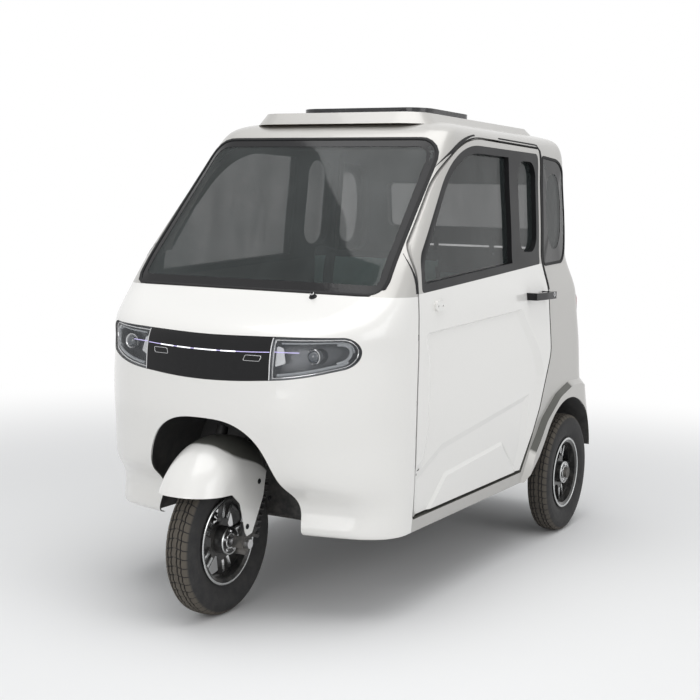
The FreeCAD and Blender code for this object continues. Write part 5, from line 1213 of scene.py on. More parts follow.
class Lamps(Maker):
    """Details inside the headlamps and on the band between them."""

    EYE = (0.327, 0.8095)
    OUTLINE = (96, 0.25)
    SPLIT, SPLIT_FOOT, SPLIT_RISE, SPLIT_STEPS = 0.2195, 0.740, 0.120, 20
    RIM_INSET, RIM_DEPTH, RIM_RADIUS = 0.0055, 0.0072, 0.0022
    GUIDE_INSET, GUIDE_DEPTH, GUIDE_GAP, GUIDE_START = 0.0135, 0.0120, 0.012, 0.018
    UPPER_RADIUS, LOWER_RADIUS = 0.0026, 0.0048
    ARC_INSET, ARC_FROM, ARC_DEPTH, ARC_RADIUS = 0.0195, 0.392, 0.0130, 0.0052
    PLATE = ((0.229, 0.778), (0.262, 0.790), (0.250, 0.838), (0.229, 0.842))
    PLATE_ROUND, PLATE_DEPTHS = 0.006, (0.0200, 0.0165)
    RING = ((-0.002, 0.0232), (0.0035, 0.0238), (0.0052, 0.0215), (0.0035, 0.0190), (-0.002, 0.0190))
    DOME_START, DOME_END, DOME_LIFT = (-0.001, 0.0192), (0.0155, 0.0008), 0.0005
    DOME_HEIGHT, DOME_RADIUS, DOME_ANGLES = 0.0150, 0.0190, range(0, 85, 12)
    STRIP_START, STRIP_REACH, STRIP_STEPS, STRIP_DEPTH, STRIP_AT = 0.2260, 0.074, 14, 0.0115, 0.26
    STRIP_LEVEL, STRIP_BEND = 0.8145, 0.12
    STRIP_SECTION, LINE_SECTION = raised(0.0014, 0.0010), raised(0.0009, 0.0007)
    CELL_SECTION, SPLIT_SECTION = raised(0.0019, 0.0013, 0.0003), raised(0.0016, 0.0016)
    LINE_END, LINE_STEPS = 0.004, 60
    CELLS = ((-0.170, -0.112), (-0.105, -0.045), (-0.037, 0.048), (0.056, 0.112))
    SLOT_PLACE, SLOT_HALF = (0.163, 0.8000), (0.026, 0.0080)
    SLOT_LEAN, SLOT_ROUND, SLOT_WIRE = 0.003, 0.005, 0.0008

    def __init__(self) -> None:
        """Finds the surfaces."""
        self.lens = Skin("headlamp_lenses")
        self.bowl = Skin("headlamp_housings")
        self.garnish = Skin("front_garnish")
        self.edge = outline_of(self.lens.front, self.EYE, *self.OUTLINE)

    def part(self, inwards: float, keep: Callable[[float, float], bool], depth: float) -> Loop:
        """The longest run of the lens's inset outline that meets a rule, behind the lens."""
        loop = inset(self.edge, inwards)
        runs: list[list[Place]] = [[]]
        start = next(index for index, place in enumerate(loop) if not keep(*place))
        for index in range(len(loop)):
            place = loop[(start + index) % len(loop)]
            if keep(*place):
                runs[-1].append(place)
            elif runs[-1]:
                runs.append([])
        return shifted(loop_at(self.lens.front, max(runs, key=len)), -depth)

    def strip_level(self, x: float) -> float:
        """The light strip's height at a distance from the middle."""
        return self.STRIP_LEVEL + self.STRIP_BEND * x * x

    def guides(self, work: Work) -> None:
        """The rim, the two light guides and the outer arc."""
        start, (_, level) = self.SPLIT + self.GUIDE_START, self.EYE
        rim = shifted(loop_at(self.lens.front, inset(self.edge, self.RIM_INSET)), -self.RIM_DEPTH)
        work.tube(rim, self.RIM_RADIUS, CHROME, 8, closed=True)
        for sign, radius in ((1, self.UPPER_RADIUS), (-1, self.LOWER_RADIUS)):
            def keep(x: float, z: float, sign: int = sign) -> bool:
                return x > start and sign * (z - level) > self.GUIDE_GAP

            work.tube(self.part(self.GUIDE_INSET, keep, self.GUIDE_DEPTH), radius, LIGHT_GUIDE)
        arc = self.part(self.ARC_INSET, lambda x, z: x > self.ARC_FROM, self.ARC_DEPTH)
        work.tube(arc, self.ARC_RADIUS, LIGHT_GUIDE)

    def lamp(self) -> Piece:
        """Rims, light guides, arcs and projectors of both lamps."""
        work = Work("headlamp_details", "cab")
        self.guides(work)
        plate = loop_at(self.lens.front, rounded(self.PLATE, self.PLATE_ROUND, 4))
        work.skin_rings([shifted(plate, -depth) for depth in self.PLATE_DEPTHS], REFLECTOR)
        eye = Vector((self.EYE[0], self.bowl.front(*self.EYE)[0].y, self.EYE[1]))
        work.lathe(eye, -Y_WAY, self.RING, CHROME, 48, hollow=True)
        arcs = [math.radians(angle) for angle in self.DOME_ANGLES]
        dome = [(self.DOME_HEIGHT * math.sin(arc) + self.DOME_LIFT, self.DOME_RADIUS * math.cos(arc))
                for arc in arcs]
        work.lathe(eye, -Y_WAY, [self.DOME_START, *dome, self.DOME_END], PROJECTOR_GLASS, 40)
        level, count = self.strip_level(self.STRIP_AT), self.STRIP_STEPS
        strip = loop_at(self.lens.front, [(self.STRIP_START + self.STRIP_REACH * step / count, level)
                                          for step in range(count + 1)])
        work.bar([(place - way * self.STRIP_DEPTH, way) for place, way in strip], self.STRIP_SECTION,
                 LIGHT_LINE)
        return work.done(mirror=True)

    def band(self) -> Piece:
        """The light strip's cells, the bright splits and the framed slots."""
        work = Work("garnish_details", "cab")
        reach, count = self.SPLIT - self.LINE_END, self.LINE_STEPS
        across = [-reach + 2 * reach * step / count for step in range(count + 1)]
        line = loop_at(self.garnish.front, [(x, self.strip_level(x)) for x in across])
        work.bar(line, self.LINE_SECTION, LIGHT_LINE)
        for start, end in self.CELLS:
            work.bar([found for found in line if start < found[0].x < end], self.CELL_SECTION, WHITE_GLOW)
        count = self.SPLIT_STEPS
        for sign in (-1, 1):
            split = [(sign * self.SPLIT, self.SPLIT_FOOT + self.SPLIT_RISE * step / count)
                     for step in range(count + 1)]
            work.bar(loop_at(self.garnish.front, split), self.SPLIT_SECTION, BRIGHT_STEEL)
            (x, z), (half, tall) = self.SLOT_PLACE, self.SLOT_HALF
            slot = [(sign * x + wide * half + high * self.SLOT_LEAN * sign, z + high * tall)
                    for wide, high in ((-1, -1), (1, -1), (1, 1), (-1, 1))]
            wire = loop_at(self.garnish.front, rounded(slot, self.SLOT_ROUND, 5))
            work.tube(shifted(wire, 0.0), self.SLOT_WIRE, BRIGHT_STEEL, 8, closed=True)
        return work.done()

    def parts(self) -> list[Piece]:
        """Makes the lamp and band details."""
        return [self.lamp(), self.band()]


@dataclass(frozen=True)
class Coil:
    """A coil spring's measures."""

    turns: float
    steps: int
    wire: float
    radius: float
    start: float
    length: float

    def line(self, foot: Vector) -> Loop:
        """The wire's path from the spring's foot along the fork."""
        path = []
        for step in range(self.steps + 1):
            turn = 2 * math.pi * self.turns * step / self.steps
            around = X_WAY * math.cos(turn) + STEER_BACK * math.sin(turn)
            rise = STEER_WAY * (self.start + self.length * step / self.steps)
            path.append(foot + rise + around * self.radius)
        return path


class Hardware(Maker):
    """Screws, springs, the wiper spindle and the door locks."""

    SCREW_X = 0.104
    SCREW_PLACES = ((-0.803, 0.4086), (-0.8641, 0.2813), (-0.742, 0.345))
    SCREW_WASHER = ((-0.001, 0.00837), (0.0009, 0.00837), (0.0013, 0.00744))
    SCREW_HEAD = ((0.0005, 0.0062), (0.00217, 0.006014), (0.003844, 0.004464), (0.004216, 0.00279),
                  (0.00186, 0.002604), (0.001736, 0.00062))
    COIL = Coil(8.5, 153, 0.0035, 0.0165, 0.008, 0.159)
    LEG_PLACE, LEG_BACK, SPRING_BACK = 0.0807, 0.011, 0.040
    ENDS, LUG_BACK, LUG_SIZE, LUG_BEVEL = (0.030, 0.205), 0.022, (0.014, 0.040, 0.007), 0.0015
    ROD = ((-0.004, 0.008), (-0.004, 0.0205), (0.0045, 0.0215), (0.0055, 0.0120), (0.0600, 0.0095),
           (0.0620, 0.0060), (0.1660, 0.0060))
    SEAT = ((-0.0090, 0.0100), (-0.0080, 0.0205), (0.0000, 0.0215), (0.0030, 0.0100))
    COLLARS = ((0.060, 0.095), (0.100, 0.104))
    COLLAR_RADII, COLLAR_EDGE = (0.0188, 0.0206), 0.001
    WIPER_ABOVE = (0.2373, -0.7317, 1.5)
    SPINDLE = ((-0.002, 0.0125), (0.0020, 0.0120), (0.0045, 0.0085), (0.0100, 0.0075), (0.0105, 0.0050),
               (0.0190, 0.0042), (0.0200, 0.0030))
    NUT, NUT_LIFT = ((0.0, 0.0066), (0.0045, 0.0066), (0.0050, 0.0052)), 0.0100
    LOCK_PLACE = (0.470, 0.9385)
    BARREL = ((-0.002, 0.0088), (0.0010, 0.0086), (0.0016, 0.0070), (0.0006, 0.0064), (0.0006, 0.0010))
    KEYHOLE, KEYHOLE_LIFT, KEYHOLE_BEVEL = (0.0012, 0.0016, 0.0080), 0.0010, 0.0003

    def screws(self) -> Piece:
        """Domed screw heads with washers and a socket on the fender."""
        work = Work("fender_screws", "steering")
        for sign in (-1, 1):
            for y, z in self.SCREW_PLACES:
                for profile in (self.SCREW_WASHER, self.SCREW_HEAD):
                    work.lathe(Vector((sign * self.SCREW_X, y, z)), X_WAY * sign, profile, BLACK_SATIN, 20)
        return work.done()

    def fork(self) -> Piece:
        """Coil springs with rods behind the fork legs, and bright collars on the legs."""
        work = Work("fork_details", "steering")
        for sign in (-1, 1):
            leg = FRONT_AXLE + STEER_BACK * self.LEG_BACK + X_WAY * (sign * self.LEG_PLACE)
            foot, head = (leg + STEER_BACK * self.SPRING_BACK + STEER_WAY * rise for rise in self.ENDS)
            work.tube(self.COIL.line(foot), self.COIL.wire, BLACK_STEEL, 8)
            work.lathe(foot, STEER_WAY, self.ROD, BLACK_STEEL, 28)
            work.lathe(head, STEER_WAY, self.SEAT, BLACK_STEEL, 28)
            for rise in self.ENDS:
                place = leg + STEER_WAY * rise + STEER_BACK * self.LUG_BACK
                work.block(place, self.LUG_SIZE, BLACK_STEEL, self.LUG_BEVEL,
                           (X_WAY, STEER_BACK, STEER_WAY))
            narrow, wide = self.COLLAR_RADII
            for low, high in self.COLLARS:
                span, edge = high - low, self.COLLAR_EDGE
                profile = ((0.0, narrow), (edge, wide), (span - edge, wide), (span, narrow))
                work.lathe(leg + STEER_WAY * low, STEER_WAY, profile, BRIGHT_STEEL, 36)
        return work.done()

    def wiper(self) -> Piece:
        """The bare wiper spindle in its dimple on the hood."""
        work = Work("wiper_spindle", "cab")
        place, way = Skin("nose_panel").hit(Vector(self.WIPER_ABOVE), -Z_WAY)
        work.lathe(place, way, self.SPINDLE, BLACK_SATIN, 28)
        work.lathe(place + way * self.NUT_LIFT, way, self.NUT, BRIGHT_STEEL, 6)
        return work.done()

    def lock(self, side: int, name: str) -> Piece:
        """The key barrel in a door handle."""
        work = Work(f"door_lock_{name}", f"door_{name}")
        place, way = Skin(f"door_{name}_handle").side(*self.LOCK_PLACE, side)
        work.lathe(place, way, self.BARREL, BRIGHT_STEEL, 28)
        work.block(place + way * self.KEYHOLE_LIFT, self.KEYHOLE, BLACK_PLASTIC, self.KEYHOLE_BEVEL)
        return work.done()

    def parts(self) -> list[Piece]:
        """Makes the small pieces."""
        return [self.screws(), self.fork(), self.wiper(), *(self.lock(side, name) for side, name in SIDES)]


@dataclass(frozen=True)
class Pad:
    """A cushion and where its seams run."""

    node: str
    thin_axis: int
    seams: tuple[float, ...]
    cross_seams: tuple[float, ...]


PADS = (
    Pad("driver_seat_cushion", 2, (-0.165, 0.165), (-0.210, -0.085)),
    Pad("driver_seat_backrest", 1, (-0.165, 0.165), (0.800, 0.960)),
    Pad("rear_bench_cushion", 2, (-0.270, 0.0, 0.270), (0.430,)),
    Pad("rear_bench_backrest", 1, (-0.270, 0.0, 0.270), (0.870,)),
)


class Seats(Maker):
    """Padded seats with sewn channels and a darker border."""

    VOXEL = 0.0062
    SHRINK = 0.010
    CHANNEL = 0.0065
    CHANNEL_WIDTH = 0.0070
    CHANNEL_REACH = 2.5
    LEAST_SHARE = 0.25
    PRESSURE = 4.0
    QUALITY = 4
    FRAMES = 20
    CAP = 0.024
    STRIPE = 0.020
    BORDER = 0.055
    EDGE_FLATNESS = 0.30
    BACK_GAP = 0.01

    def shell(self, pad: Pad) -> Piece:
        """A remeshed copy of a cushion, a little smaller than its place."""
        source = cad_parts[pad.node]
        mesh = source.data.copy()
        item = bpy.data.objects.new(f"{pad.node}_pad", mesh)
        bpy.context.scene.collection.objects.link(item)
        work = bmesh.new()
        work.from_mesh(mesh)
        bmesh.ops.remove_doubles(work, verts=work.verts[:], dist=TINY * 10)
        low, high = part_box(pad.node)
        middle, half = (low + high) / 2, (high - low) / 2
        for corner in work.verts:
            for axis in range(3):
                shift = corner.co[axis] - middle[axis]
                corner.co[axis] = middle[axis] + shift * (half[axis] - self.SHRINK) / half[axis]
        work.to_mesh(mesh)
        work.free()
        remesh = item.modifiers.new("even", "REMESH")
        remesh.mode, remesh.voxel_size = "VOXEL", self.VOXEL
        self.keep(item)
        return item

    @staticmethod
    def keep(item: Piece) -> None:
        """Makes the modifiers' result the object's own mesh."""
        bpy.context.view_layer.update()
        seen = item.evaluated_get(bpy.context.evaluated_depsgraph_get())
        mesh = bpy.data.meshes.new_from_object(seen)
        item.modifiers.clear()
        item.data = mesh

    def swell(self, item: Piece) -> None:
        """Lets the shell swell like a stuffed cover, no point by more than the cap."""
        before = [corner.co.copy() for corner in item.data.vertices]
        scene = bpy.context.scene
        scene.frame_set(1)
        cloth = item.modifiers.new("stuffing", "CLOTH")
        cloth.settings.use_pressure = True
        cloth.settings.uniform_pressure_force = self.PRESSURE
        cloth.settings.effector_weights.gravity = 0.0
        cloth.settings.quality = self.QUALITY
        cloth.collision_settings.use_collision = False
        for step in range(1, self.FRAMES + 1):
            scene.frame_set(step)
        self.keep(item)
        scene.frame_set(1)
        for corner, place in zip(item.data.vertices, before):
            move = corner.co - place
            if move.length > self.CAP:
                corner.co = place + move.normalized() * self.CAP

    def sew(self, item: Piece, pad: Pad) -> None:
        """Presses the sewn channels into the pad."""
        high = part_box(pad.node)[1]
        thin, long = pad.thin_axis, 3 - pad.thin_axis
        normals = [corner.normal.copy() for corner in item.data.vertices]
        for corner, normal in zip(item.data.vertices, normals):
            place = corner.co
            near = min(*(abs(place.x - seam) for seam in pad.seams),
                       abs(high[0] - self.BORDER - abs(place.x)),
                       *(abs(place[long] - seam) for seam in pad.cross_seams))
            if near < self.CHANNEL_WIDTH * self.CHANNEL_REACH:
                flat = max(self.LEAST_SHARE, abs(normal[thin]))
                depth = self.CHANNEL * math.exp(-(near / self.CHANNEL_WIDTH) ** 2) * flat
                corner.co = place - normal * depth

    def colour(self, item: Piece, pad: Pad) -> None:
        """Gives the pad its two colours: dark stripes, head, edge and back."""
        low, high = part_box(pad.node)
        thin, long = pad.thin_axis, 3 - pad.thin_axis
        mesh = item.data
        mesh.materials.clear()
        for finish in (MINT_LEATHER, DARK_LEATHER):
            mesh.materials.append(shop.get(finish))
        for face in mesh.polygons:
            centre = face.center
            stripe = min(abs(centre.x - seam) for seam in pad.seams if seam) < self.STRIPE
            upright = thin == 1
            above, below = high[long] - centre[long], centre[long] - low[long]
            head = (above if upright else below) < self.BORDER
            edge = abs(face.normal[thin]) < self.EDGE_FLATNESS
            back = upright and centre[1] > (low[1] + high[1]) / 2 + self.BACK_GAP
            face.material_index = int(stripe or head or edge or back)

    def parts(self) -> list[Piece]:
        """Makes every seat pad."""
        made = []
        for pad in PADS:
            item = self.shell(pad)
            self.swell(item)
            self.sew(item, pad)
            self.colour(item, pad)
            smooth = item.modifiers.new("smooth", "SUBSURF")
            smooth.levels = smooth.render_levels = 1
            item.data.polygons.foreach_set("use_smooth", [True] * len(item.data.polygons))
            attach(item, "cab")
            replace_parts(item, pad.node)
            made.append(item)
        return made


class Cabin(Maker):
    """Controls, instruments and floor mat inside the cab."""

    POD_Y, POD_LIFT, POD_LEAN = -0.662, 0.026, math.radians(28)
    POD, POD_BEVEL = (0.300, 0.045, 0.090), 0.010
    SCREEN, SCREEN_LIFT, SCREEN_BEVEL = (0.235, 0.006, 0.066), 0.0215, 0.002
    KEY, KEY_X, KEY_STEP, KEY_LIFT, KEY_BEVEL = (0.020, 0.006, 0.014), 0.132, 0.024, 0.0225, 0.0018
    VENT_PLACE, VENT_BLADE = (0.330, -0.5235, 0.850), (0.060, 0.008, 0.0022)
    VENT_RING = ((-0.004, 0.040), (0.006, 0.040), (0.008, 0.036), (0.004, 0.033), (-0.004, 0.033))
    BLADE_START, BLADE_STEP, BLADE_BEVEL = 0.024, 0.012, 0.0008
    GRIP_ENDS, BAR_HEIGHTS, BAR_SEARCH = (0.006, 0.118), (1.2, 0.6), (-0.58, 0.22, 119)
    GRIP_START = ((0.000, 0.0150), (0.001, 0.0195), (0.005, 0.0198))
    GRIP_END = ((0.112, 0.0176), (0.113, 0.0215), (0.117, 0.0215), (0.118, 0.0150))
    RIB = ((0.0, 0.0176), (0.0012, 0.0190), (0.0062, 0.0190), (0.0074, 0.0176))
    RIB_START, RIB_STEP, RIBS = 0.008, 0.0092, 11
    HOUSING, HOUSING_PLACE, HOUSING_BEVEL = (0.036, 0.040, 0.044), 0.022, 0.006
    BUTTON, BUTTON_LIFT, BUTTON_SHIFT, BUTTON_BEVEL = (0.010, 0.012, 0.005), 0.0225, 0.0075, 0.0012
    LEVER_ROOT, LEVER_SECTION = (0.024, 0.004), raised(0.006, 0.0028, 0.0, -0.0028)
    LEVER_BENDS = ((0.0, 0.0), (0.020, -0.020), (0.030, -0.060), (0.030, -0.110), (0.036, -0.128))
    PIVOT, PIVOT_DROP = ((0.0, 0.009), (0.024, 0.009)), -0.012
    FLOOR = 0.3030
    PEDAL_ARM = ((-0.165, -0.500, 0.200), (-0.165, -0.465, 0.120), (-0.165, -0.425, 0.075))
    PEDAL_AXES = (X_WAY, Vector((0, 0.80, 0.60)), Vector((0, -0.60, 0.80)))
    PEDAL, PEDAL_PLACE = (0.075, 0.012, 0.055), (-0.165, -0.423, 0.070)
    PEDAL_BEVEL, PEDAL_ROD, TREAD_BEVEL, BOX_BEVEL = 0.004, 0.0065, 0.001, 0.004
    TREAD_BAR, TREAD_STEP = (0.066, 0.004, 0.004), (0.0, -0.0078, 0.0104)
    TREAD_PLACE = (-0.165, -0.4175, 0.0745)
    PEDAL_BOX, BOX_PLACE = (0.050, 0.050, 0.050), (-0.165, -0.5100, 0.205)
    BRAKE_LEVER = ((0.330, -0.080, 0.0), (0.330, -0.100, 0.120), (0.330, -0.140, 0.235))
    BRAKE_ROD, BRAKE_GRIP, GRIP_SHARE = 0.0080, 0.0140, 0.45
    BRAKE_FOOT, BRAKE_PLACE, BRAKE_BEVEL = (0.050, 0.120, 0.024), (0.330, -0.080, 0.012), 0.005
    MAT = ((-0.40, -0.505), (0.40, -0.505), (0.40, -0.300), (-0.40, -0.300))
    MAT_ROUND, MAT_HEIGHT, MAT_EDGE = 0.03, 0.0040, 0.002
    MAT_RIB, MAT_RIBS = (0.760, 0.0036, 0.0024), 22
    MAT_RIB_START, MAT_RIB_STEP, MAT_RIB_LIFT = -0.494, 0.0088, 0.0046

    def instruments(self) -> Piece:
        """The instrument pod on the dash, with its screen, switches and vents."""
        work = Work("instruments", "cab")
        level = Skin("dash_panel").top(0.0, self.POD_Y)[0].z
        sine, cosine = math.sin(self.POD_LEAN), math.cos(self.POD_LEAN)
        up, back = Vector((0, -sine, cosine)), Vector((0, cosine, sine))
        axes = (X_WAY, back, up)
        foot = Vector((0.0, self.POD_Y, level + self.POD_LIFT))
        work.block(foot, self.POD, BLACK_PLASTIC, self.POD_BEVEL, axes)
        work.block(foot + back * self.SCREEN_LIFT, self.SCREEN, SCREEN_FACE, self.SCREEN_BEVEL, axes)
        for sign in (-1, 1):
            for row in (1, 0, -1):
                aside = X_WAY * (sign * self.KEY_X) + up * (self.KEY_STEP * row)
                spot = foot + aside + back * self.KEY_LIFT
                work.block(spot, self.KEY, BLACK_GLOSS, self.KEY_BEVEL, axes)
        for sign in (-1, 1):
            centre = Vector((sign, 1.0, 1.0)) * Vector(self.VENT_PLACE)
            work.lathe(centre, Y_WAY, self.VENT_RING, BLACK_PLASTIC, 40, hollow=True)
            for blade in range(5):
                spot = centre + Z_WAY * (self.BLADE_START - self.BLADE_STEP * blade)
                work.block(spot, self.VENT_BLADE, BLACK_PLASTIC, self.BLADE_BEVEL)
        return work.done()

    def bars(self) -> Piece:
        """Grips, levers and switch housings on the handlebar."""
        work = Work("bar_controls", "steering")
        skin, reach = Skin("handlebar"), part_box("handlebar")[1].x
        ribs = [(self.RIB_START + rib * self.RIB_STEP + along, radius) for rib in range(self.RIBS)
                for along, radius in self.RIB]
        for sign in (-1, 1):
            tip, root = (self.bar_point(skin, sign * (reach - end)) for end in self.GRIP_ENDS)
            way = (root - tip).normalized()
            work.lathe(tip, way, [*self.GRIP_START, *ribs, *self.GRIP_END], SEAL_RUBBER, 24)
            housing = root + way * self.HOUSING_PLACE
            side = way.cross(Z_WAY).normalized()
            up = side.cross(way).normalized()
            axes = (way, side, up)
            work.block(housing, self.HOUSING, BLACK_PLASTIC, self.HOUSING_BEVEL, axes)
            for shift in (-self.BUTTON_SHIFT, self.BUTTON_SHIFT):
                spot = housing + up * self.BUTTON_LIFT + way * shift
                work.block(spot, self.BUTTON, BLACK_GLOSS, self.BUTTON_BEVEL, axes)
            forward = -side if side.y > 0 else side
            start = housing + forward * self.LEVER_ROOT[0] + way * self.LEVER_ROOT[1]
            bends = [start + forward * out + way * along for out, along in self.LEVER_BENDS]
            line = smooth_line(bends, steps=5)
            work.sweep(line, [up] * len(line), self.LEVER_SECTION, BLACK_SATIN)
            work.lathe(start + up * self.PIVOT_DROP, up, self.PIVOT, BLACK_STEEL, 18)
        return work.done()

    def bar_point(self, skin: Skin, x: float) -> Vector:
        """The middle of the handlebar at a distance from the car's middle."""
        above, below = self.BAR_HEIGHTS
        start, reach, steps = self.BAR_SEARCH
        places = [start + reach * step / steps for step in range(steps + 1)]
        pairs = filled((skin.hit(Vector((x, y, above)), -Z_WAY), skin.hit(Vector((x, y, below)), Z_WAY))
                       for y in places)
        upper, under = max(pairs, key=lambda pair: pair[0][0].z - pair[1][0].z)
        return (upper[0] + under[0]) / 2

    def on_floor(self, place: Sequence[float]) -> Vector:
        """A place that is given by its height over the floor."""
        return Vector(place) + Z_WAY * self.FLOOR

    def pedals(self) -> Piece:
        """The brake pedal and the parking brake lever."""
        work = Work("pedals", "cab")
        arm = smooth_line([self.on_floor(place) for place in self.PEDAL_ARM], steps=5)
        work.tube(arm, self.PEDAL_ROD, BLACK_STEEL)
        work.block(self.on_floor(self.PEDAL_PLACE), self.PEDAL, BLACK_PLASTIC, self.PEDAL_BEVEL,
                   self.PEDAL_AXES)
        for row in (-1.5, -0.5, 0.5, 1.5):
            spot = self.on_floor(self.TREAD_PLACE) + Vector(self.TREAD_STEP) * row
            work.block(spot, self.TREAD_BAR, SEAL_RUBBER, self.TREAD_BEVEL, self.PEDAL_AXES)
        work.block(self.on_floor(self.BOX_PLACE), self.PEDAL_BOX, BLACK_STEEL, self.BOX_BEVEL)
        lever = [self.on_floor(place) for place in self.BRAKE_LEVER]
        work.tube(lever, self.BRAKE_ROD, BLACK_STEEL, 12)
        work.tube([lever[2].lerp(lever[1], self.GRIP_SHARE), lever[2]], self.BRAKE_GRIP, BLACK_PLASTIC, 16)
        work.block(self.on_floor(self.BRAKE_PLACE), self.BRAKE_FOOT, BLACK_PLASTIC, self.BRAKE_BEVEL)
        return work.done()

    def mat(self) -> Piece:
        """The ribbed rubber mat on the floor."""
        work = Work("floor_mat", "cab")
        outline = [self.on_floor((x, y, 0.0)) for x, y in rounded(self.MAT, self.MAT_ROUND, 4)]
        work.slab(outline, Z_WAY * self.MAT_HEIGHT, SEAL_RUBBER, self.MAT_EDGE)
        for rib in range(self.MAT_RIBS):
            place = self.on_floor((0.0, self.MAT_RIB_START + rib * self.MAT_RIB_STEP, self.MAT_RIB_LIFT))
            work.block(place, self.MAT_RIB, SEAL_RUBBER)
        return work.done()

    def parts(self) -> list[Piece]:
        """Makes the cab's inner pieces."""
        return [self.instruments(), self.bars(), self.pedals(), self.mat()]


class Rear(Maker):
    """Details of the tail lamps and the boot lid."""

    LAMP_CENTRE, LAMP_OUTLINE, LAMP_FROM = (0.452, 0.825), (72, 0.14), 0.30
    FRAME_INSETS, FRAME_LIFTS = (0.0012, 0.0058), (0.0016, 0.0008)
    BARS, BAR_REACH, BAR_END, BAR_STEPS = (0.34, 0.67), 0.02, 0.006, 10
    BAR_SECTION = raised(0.0022, 0.0012)
    LID_CENTRE, LID_POINTS, SEAL_TOP = (0.0, 0.875), 160, 1.045
    SEAL_INSETS, SEAL_LIFTS = (-0.0150, -0.0045), (0.002, 0.0010, 0.0030, 0.0018)
    PULL_PLACE, LOCK_PLACE = (0.0, 0.735), (0.0, 0.790)
    PULL_PLATE, PULL_BAR = (0.150, 0.012, 0.030), (0.120, 0.010, 0.012)
    PLATE_LIFT, PLATE_BEVEL, BAR_LIFT, BAR_RISE, BAR_BEVEL = 0.004, 0.004, 0.012, 0.006, 0.003
    BARREL = ((-0.001, 0.0115), (0.0015, 0.0112), (0.0024, 0.0090), (0.0012, 0.0080), (0.0012, 0.0010))

    def lamp(self, side: int, name: str) -> Piece:
        """The frame and cross bars of one tail lamp."""
        work = Work(f"tail_lamp_trim_{name}", "cab")
        skin = Skin("tail_lamps")

        def find(x: float, z: float) -> Found | None:
            return skin.rear(side * x, z) if x > self.LAMP_FROM else None

        edge = outline_of(find, self.LAMP_CENTRE, *self.LAMP_OUTLINE)
        outer, inner = (inset(edge, amount) for amount in self.FRAME_INSETS)
        rim = filled((find(*a), find(*b)) for a, b in zip(outer, inner))
        work.band([a for a, _ in rim], [b for _, b in rim], BLACK_GLOSS, *self.FRAME_LIFTS)
        low, high = min(z for _, z in edge), max(z for _, z in edge)
        for share in self.BARS:
            level = low + (high - low) * share
            near = [x for x, z in edge if abs(z - level) < self.BAR_REACH]
            start, end = min(near) + self.BAR_END, max(near) - self.BAR_END
            path = loop_at(find, [(start + (end - start) * step / self.BAR_STEPS, level)
                                  for step in range(self.BAR_STEPS + 1)])
            if len(path) > 2:
                work.bar(path, self.BAR_SECTION, BLACK_GLOSS)
        return work.done()

    def seal(self, lid: Skin) -> Piece:
        """Rubber round the lid's opening, below the rear window."""
        edge = outline_of(lid.rear, self.LID_CENTRE, self.LID_POINTS)
        outer, inner = (inset(edge, amount) for amount in self.SEAL_INSETS)
        shell = Skin("rear_body")
        lower = [index for index in range(len(edge)) if edge[index][1] < self.SEAL_TOP]
        start = next(index for index in lower if index - 1 not in lower and index)
        run = []
        for step in range(len(lower)):
            place = (start + step) % len(edge)
            found = shell.rear(*outer[place])
            if found and edge[place][1] < self.SEAL_TOP:
                run.append((found, Vector((inner[place][0], found[0].y, inner[place][1]))))
        work = Work("boot_seal", "cab")
        work.skin_rings(seal_rings(run, self.SEAL_LIFTS), SEAL_RUBBER)
        return work.done(SEAL_SHARP)

    def pull(self, lid: Skin) -> Piece:
        """The lid's pull and lock."""
        work = Work("boot_pull", "boot")
        place, way = lid.rear(*self.PULL_PLACE)
        up = X_WAY.cross(way)
        axes = (X_WAY, way, up)
        work.block(place + way * self.PLATE_LIFT, self.PULL_PLATE, BLACK_SATIN, self.PLATE_BEVEL, axes)
        bar = place + way * self.BAR_LIFT + up * self.BAR_RISE
        work.block(bar, self.PULL_BAR, BLACK_SATIN, self.BAR_BEVEL, axes)
        work.lathe(*lid.rear(*self.LOCK_PLACE), self.BARREL, BRIGHT_STEEL, 28)
        return work.done()

    def parts(self) -> list[Piece]:
        """Makes the rear details."""
        lid = Skin("boot_lid")
        return [*(self.lamp(side, name) for side, name in SIDES), self.seal(lid), self.pull(lid)]


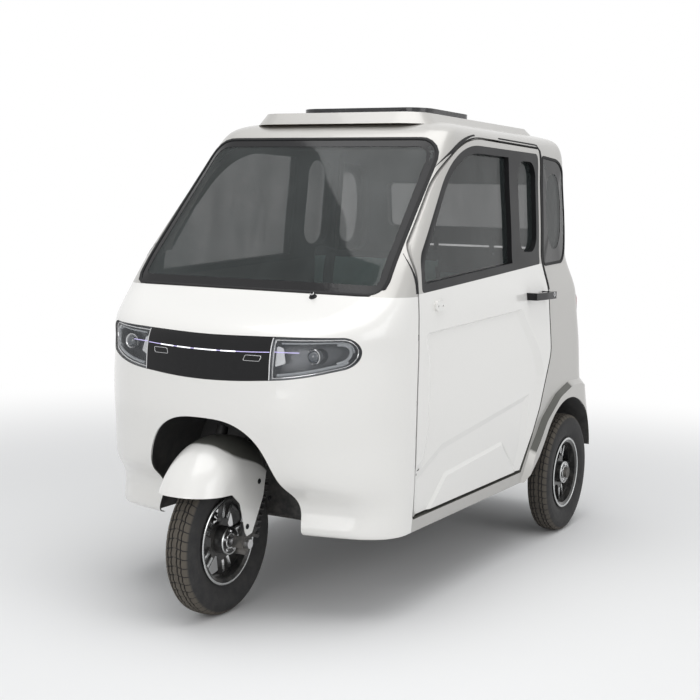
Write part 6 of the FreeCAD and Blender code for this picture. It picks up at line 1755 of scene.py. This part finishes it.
MAKERS: list[type[Maker]] = [Wheels, Glazing, Lamps, Hardware, Rear, Cabin, Seats]
NODE_FINISHES = {
    "nose_panel": WHITE_PAINT, "front_fender": WHITE_PAINT, "front_garnish": BLACK_GLOSS,
    "headlamp_lenses": CLEAR_LENS, "headlamp_housings": LAMP_BOWL, "windscreen": WINDOW_GLASS,
    "cab_frame": GREY_PAINT, "roof_panel": ROOF_PAINT, "roof_hatch": TINTED_GLASS,
    "rear_body": GREY_PAINT, "quarter_windows": WINDOW_GLASS, "rear_window": WINDOW_GLASS,
    "boot_lid": GREY_PAINT, "door_hinges": BLACK_STEEL, "lid_hinges": BLACK_STEEL, "tail_lamps": RED_LENS,
    "front_arch_liner": BLACK_PLASTIC, "dash_panel": BEIGE_PLASTIC, "floor_pan": FLOOR_PLASTIC,
    "rear_arch_liners": BLACK_PLASTIC, "fork": BLACK_STEEL, "front_axle": BRIGHT_STEEL,
    "handlebar": BLACK_STEEL, "chassis": BLACK_STEEL, "rear_axle": CAST_IRON, "leaf_springs": BLACK_STEEL,
    "battery_box": BATTERY_CASE, "driver_seat_cushion": MINT_LEATHER,
    "driver_seat_backrest": MINT_LEATHER, "rear_bench_cushion": MINT_LEATHER,
    "rear_bench_backrest": MINT_LEATHER,
}
DOOR_FINISHES = {"panel": WHITE_PAINT, "frame": DOOR_GREY, "window_frame": BLACK_SATIN,
                 "glass": WINDOW_GLASS, "handle": BLACK_GLOSS}


def dress_nodes() -> None:
    """Gives every carried-over node its finish."""
    finishes = dict(NODE_FINISHES)
    for _, side in SIDES:
        finishes.update({f"door_{side}_{part}": finish for part, finish in DOOR_FINISHES.items()})
    for wheel in WHEELS:
        finishes.update({f"{wheel.name}_tyre": TYRE_RUBBER, f"{wheel.name}_rim": RIM_BLACK})
    for name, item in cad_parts.items():
        item.data.materials.clear()
        item.data.materials.append(shop.get(finishes[name]))


def main() -> None:
    """Builds the picture piece by piece."""
    logging.basicConfig(level=logging.INFO, format="%(name)s: %(message)s")
    Studio().build()
    dress_nodes()
    for maker in MAKERS:
        log.info("made %s", ", ".join(maker().build()))


if __name__ == "__main__":
    main()
